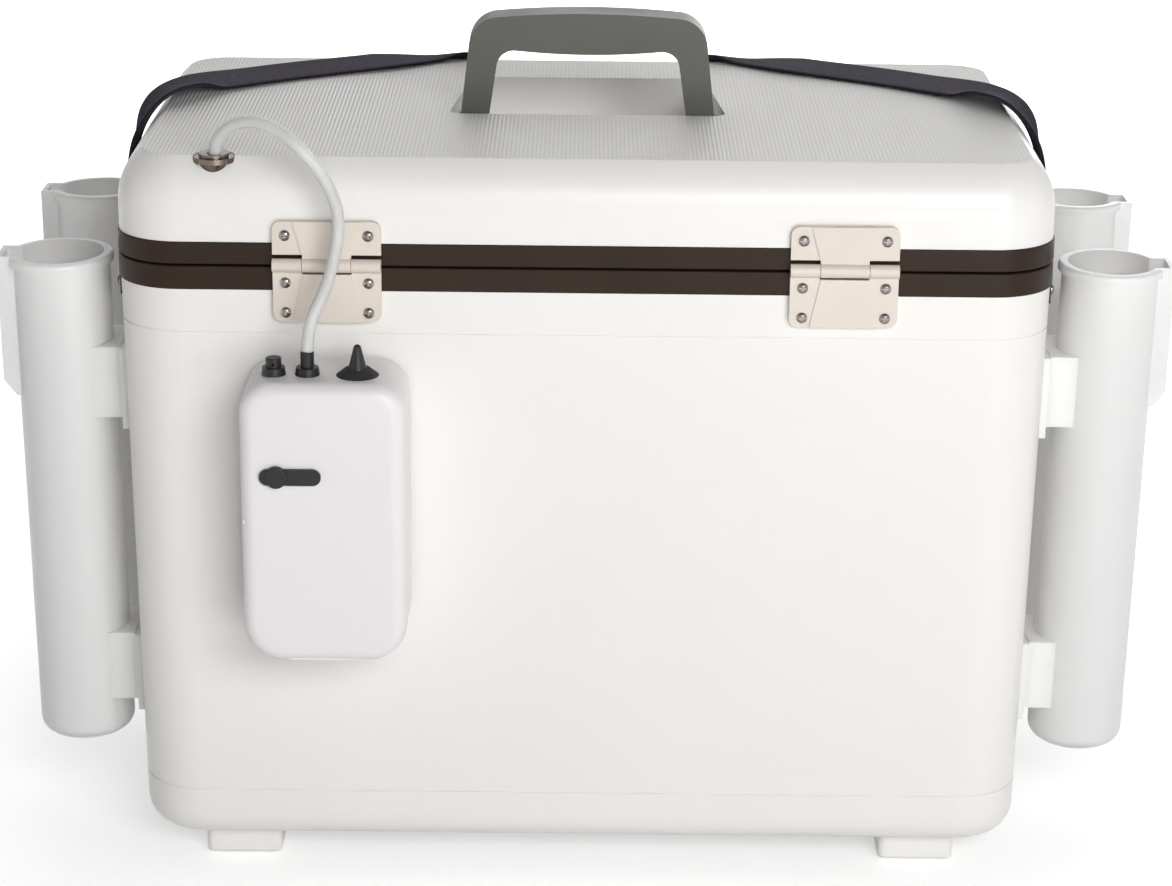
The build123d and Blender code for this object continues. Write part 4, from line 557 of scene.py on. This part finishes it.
def backdrop(name, colour, lift):
    """A floor that keeps the shadow and shows white to the eye, to gloss and through glass."""
    made = Finish(name, colour, 0.9, specular=0.0)
    ray = made.node("ShaderNodeLightPath").outputs
    seen = made.math("MAXIMUM", ray["Is Camera Ray"], ray["Is Glossy Ray"])
    seen = made.math("MAXIMUM", seen, ray["Is Transmission Ray"])
    made.set("Emission Color", (1, 1, 1, 1))
    x, y, z = made.axes()
    out = made.math("SQRT", made.math("ADD", made.math("MULTIPLY", x, x), made.math("MULTIPLY", y, y)))
    made.feed(made.math("MULTIPLY", seen, made.ramp(out, 0.22, 0.75, lift, 1.0)), made.skin.inputs["Emission Strength"])
    made.drift(3.0, 0.01)
    return made.material


reach = 5.0
floor = mesh_object(
    "floor", [(-reach, -reach, 0), (reach, -reach, 0), (reach, reach, 0), (-reach, reach, 0)], [(0, 1, 2, 3)]
)
floor.location.z = -0.0004
dress(floor, backdrop("floor_white", (0.82, 0.82, 0.82), 0.46))

world = bpy.data.worlds.new("studio")
scene.world = world
world.use_nodes = True
sky = world.node_tree
sky.nodes.clear()


def sky_node(kind, **facts):
    made = sky.nodes.new(kind)
    for key, value in facts.items():
        setattr(made, key, value)
    return made


ray = sky_node("ShaderNodeLightPath").outputs
way = sky_node("ShaderNodeSeparateXYZ")
sky.links.new(sky_node("ShaderNodeTexCoord").outputs["Generated"], way.inputs[0])
ceiling = sky_node("ShaderNodeMapRange", interpolation_type="SMOOTHSTEP")
for socket, value in (("From Min", 0.35), ("From Max", 0.75), ("To Min", 1.0), ("To Max", 0.3)):
    ceiling.inputs[socket].default_value = value
sky.links.new(way.outputs["Z"], ceiling.inputs["Value"])
seen = sky_node("ShaderNodeMath", operation="MAXIMUM")
sky.links.new(ray["Is Camera Ray"], seen.inputs[0])
sky.links.new(ray["Is Transmission Ray"], seen.inputs[1])
gloss = sky_node("ShaderNodeMath", operation="MULTIPLY")
sky.links.new(ray["Is Glossy Ray"], gloss.inputs[0])
sky.links.new(ceiling.outputs[0], gloss.inputs[1])
both = sky_node("ShaderNodeMath", operation="MAXIMUM")
sky.links.new(seen.outputs[0], both.inputs[0])
sky.links.new(gloss.outputs[0], both.inputs[1])
behind = sky_node("ShaderNodeVectorMath", operation="DOT_PRODUCT")
behind.inputs[1].default_value = (0.0, 0.86, 0.51)
sky.links.new(sky_node("ShaderNodeTexCoord").outputs["Generated"], behind.inputs[0])
ambient = sky_node("ShaderNodeMapRange", interpolation_type="SMOOTHSTEP")
for socket, value in (("From Min", 0.25), ("From Max", 0.95), ("To Min", 0.07), ("To Max", 0.70)):
    ambient.inputs[socket].default_value = value
sky.links.new(behind.outputs["Value"], ambient.inputs["Value"])
level = sky_node("ShaderNodeMapRange")
sky.links.new(ambient.outputs[0], level.inputs["To Min"])
level.inputs["To Max"].default_value = 1.0
sky.links.new(both.outputs[0], level.inputs["Value"])
glow = sky_node("ShaderNodeBackground")
glow.inputs["Color"].default_value = (1, 1, 1, 1)
sky.links.new(level.outputs[0], glow.inputs["Strength"])
sky_out = sky_node("ShaderNodeOutputWorld")
sky.links.new(glow.outputs[0], sky_out.inputs["Surface"])


def soft_light(name, place, aim, size, power):
    data = bpy.data.lights.new(name, "AREA")
    data.shape = "RECTANGLE"
    data.size, data.size_y = size
    data.energy = power
    lamp = bpy.data.objects.new(name, data)
    scene.collection.objects.link(lamp)
    lamp.location = place
    lamp.visible_camera = False
    lamp.rotation_euler = (Vector(aim) - Vector(place)).to_track_quat("-Z", "Y").to_euler()


soft_light("front", (0.60, -2.0, 1.15), (0, 0, 0.24), (1.3, 0.7), 26)
soft_light("low", (0.70, -2.1, 0.12), (0, 0, 0.20), (1.3, 0.3), 11)
soft_light("top", (0.1, 1.2, 2.3), (0, 0, 0.2), (2.2, 1.6), 3)
soft_light("left", (-2.3, -0.6, 0.5), (0, 0, 0.2), (1.2, 1.2), 4)
soft_light("right", (2.3, -0.4, 0.5), (0, 0, 0.2), (1.2, 1.2), 3.0)
soft_light("back", (0.4, 2.4, 0.6), (0, 0, 0.2), (1.6, 1.0), 14)

lens = bpy.data.cameras.new("camera")
lens.sensor_width = 36.0
lens.lens = 95.93
lens.clip_start, lens.clip_end = 0.05, 50
camera = bpy.data.objects.new("camera", lens)
scene.collection.objects.link(camera)
tilt, roll = math.radians(90 - 18.528), math.radians(0.608)
camera.matrix_world = (
    Matrix.Translation((0.001025, -1.621045, 0.737728)) @ Matrix.Rotation(tilt, 4, "X") @ Matrix.Rotation(roll, 4, "Z")
)
scene.camera = camera
scene.view_settings.view_transform = "Standard"
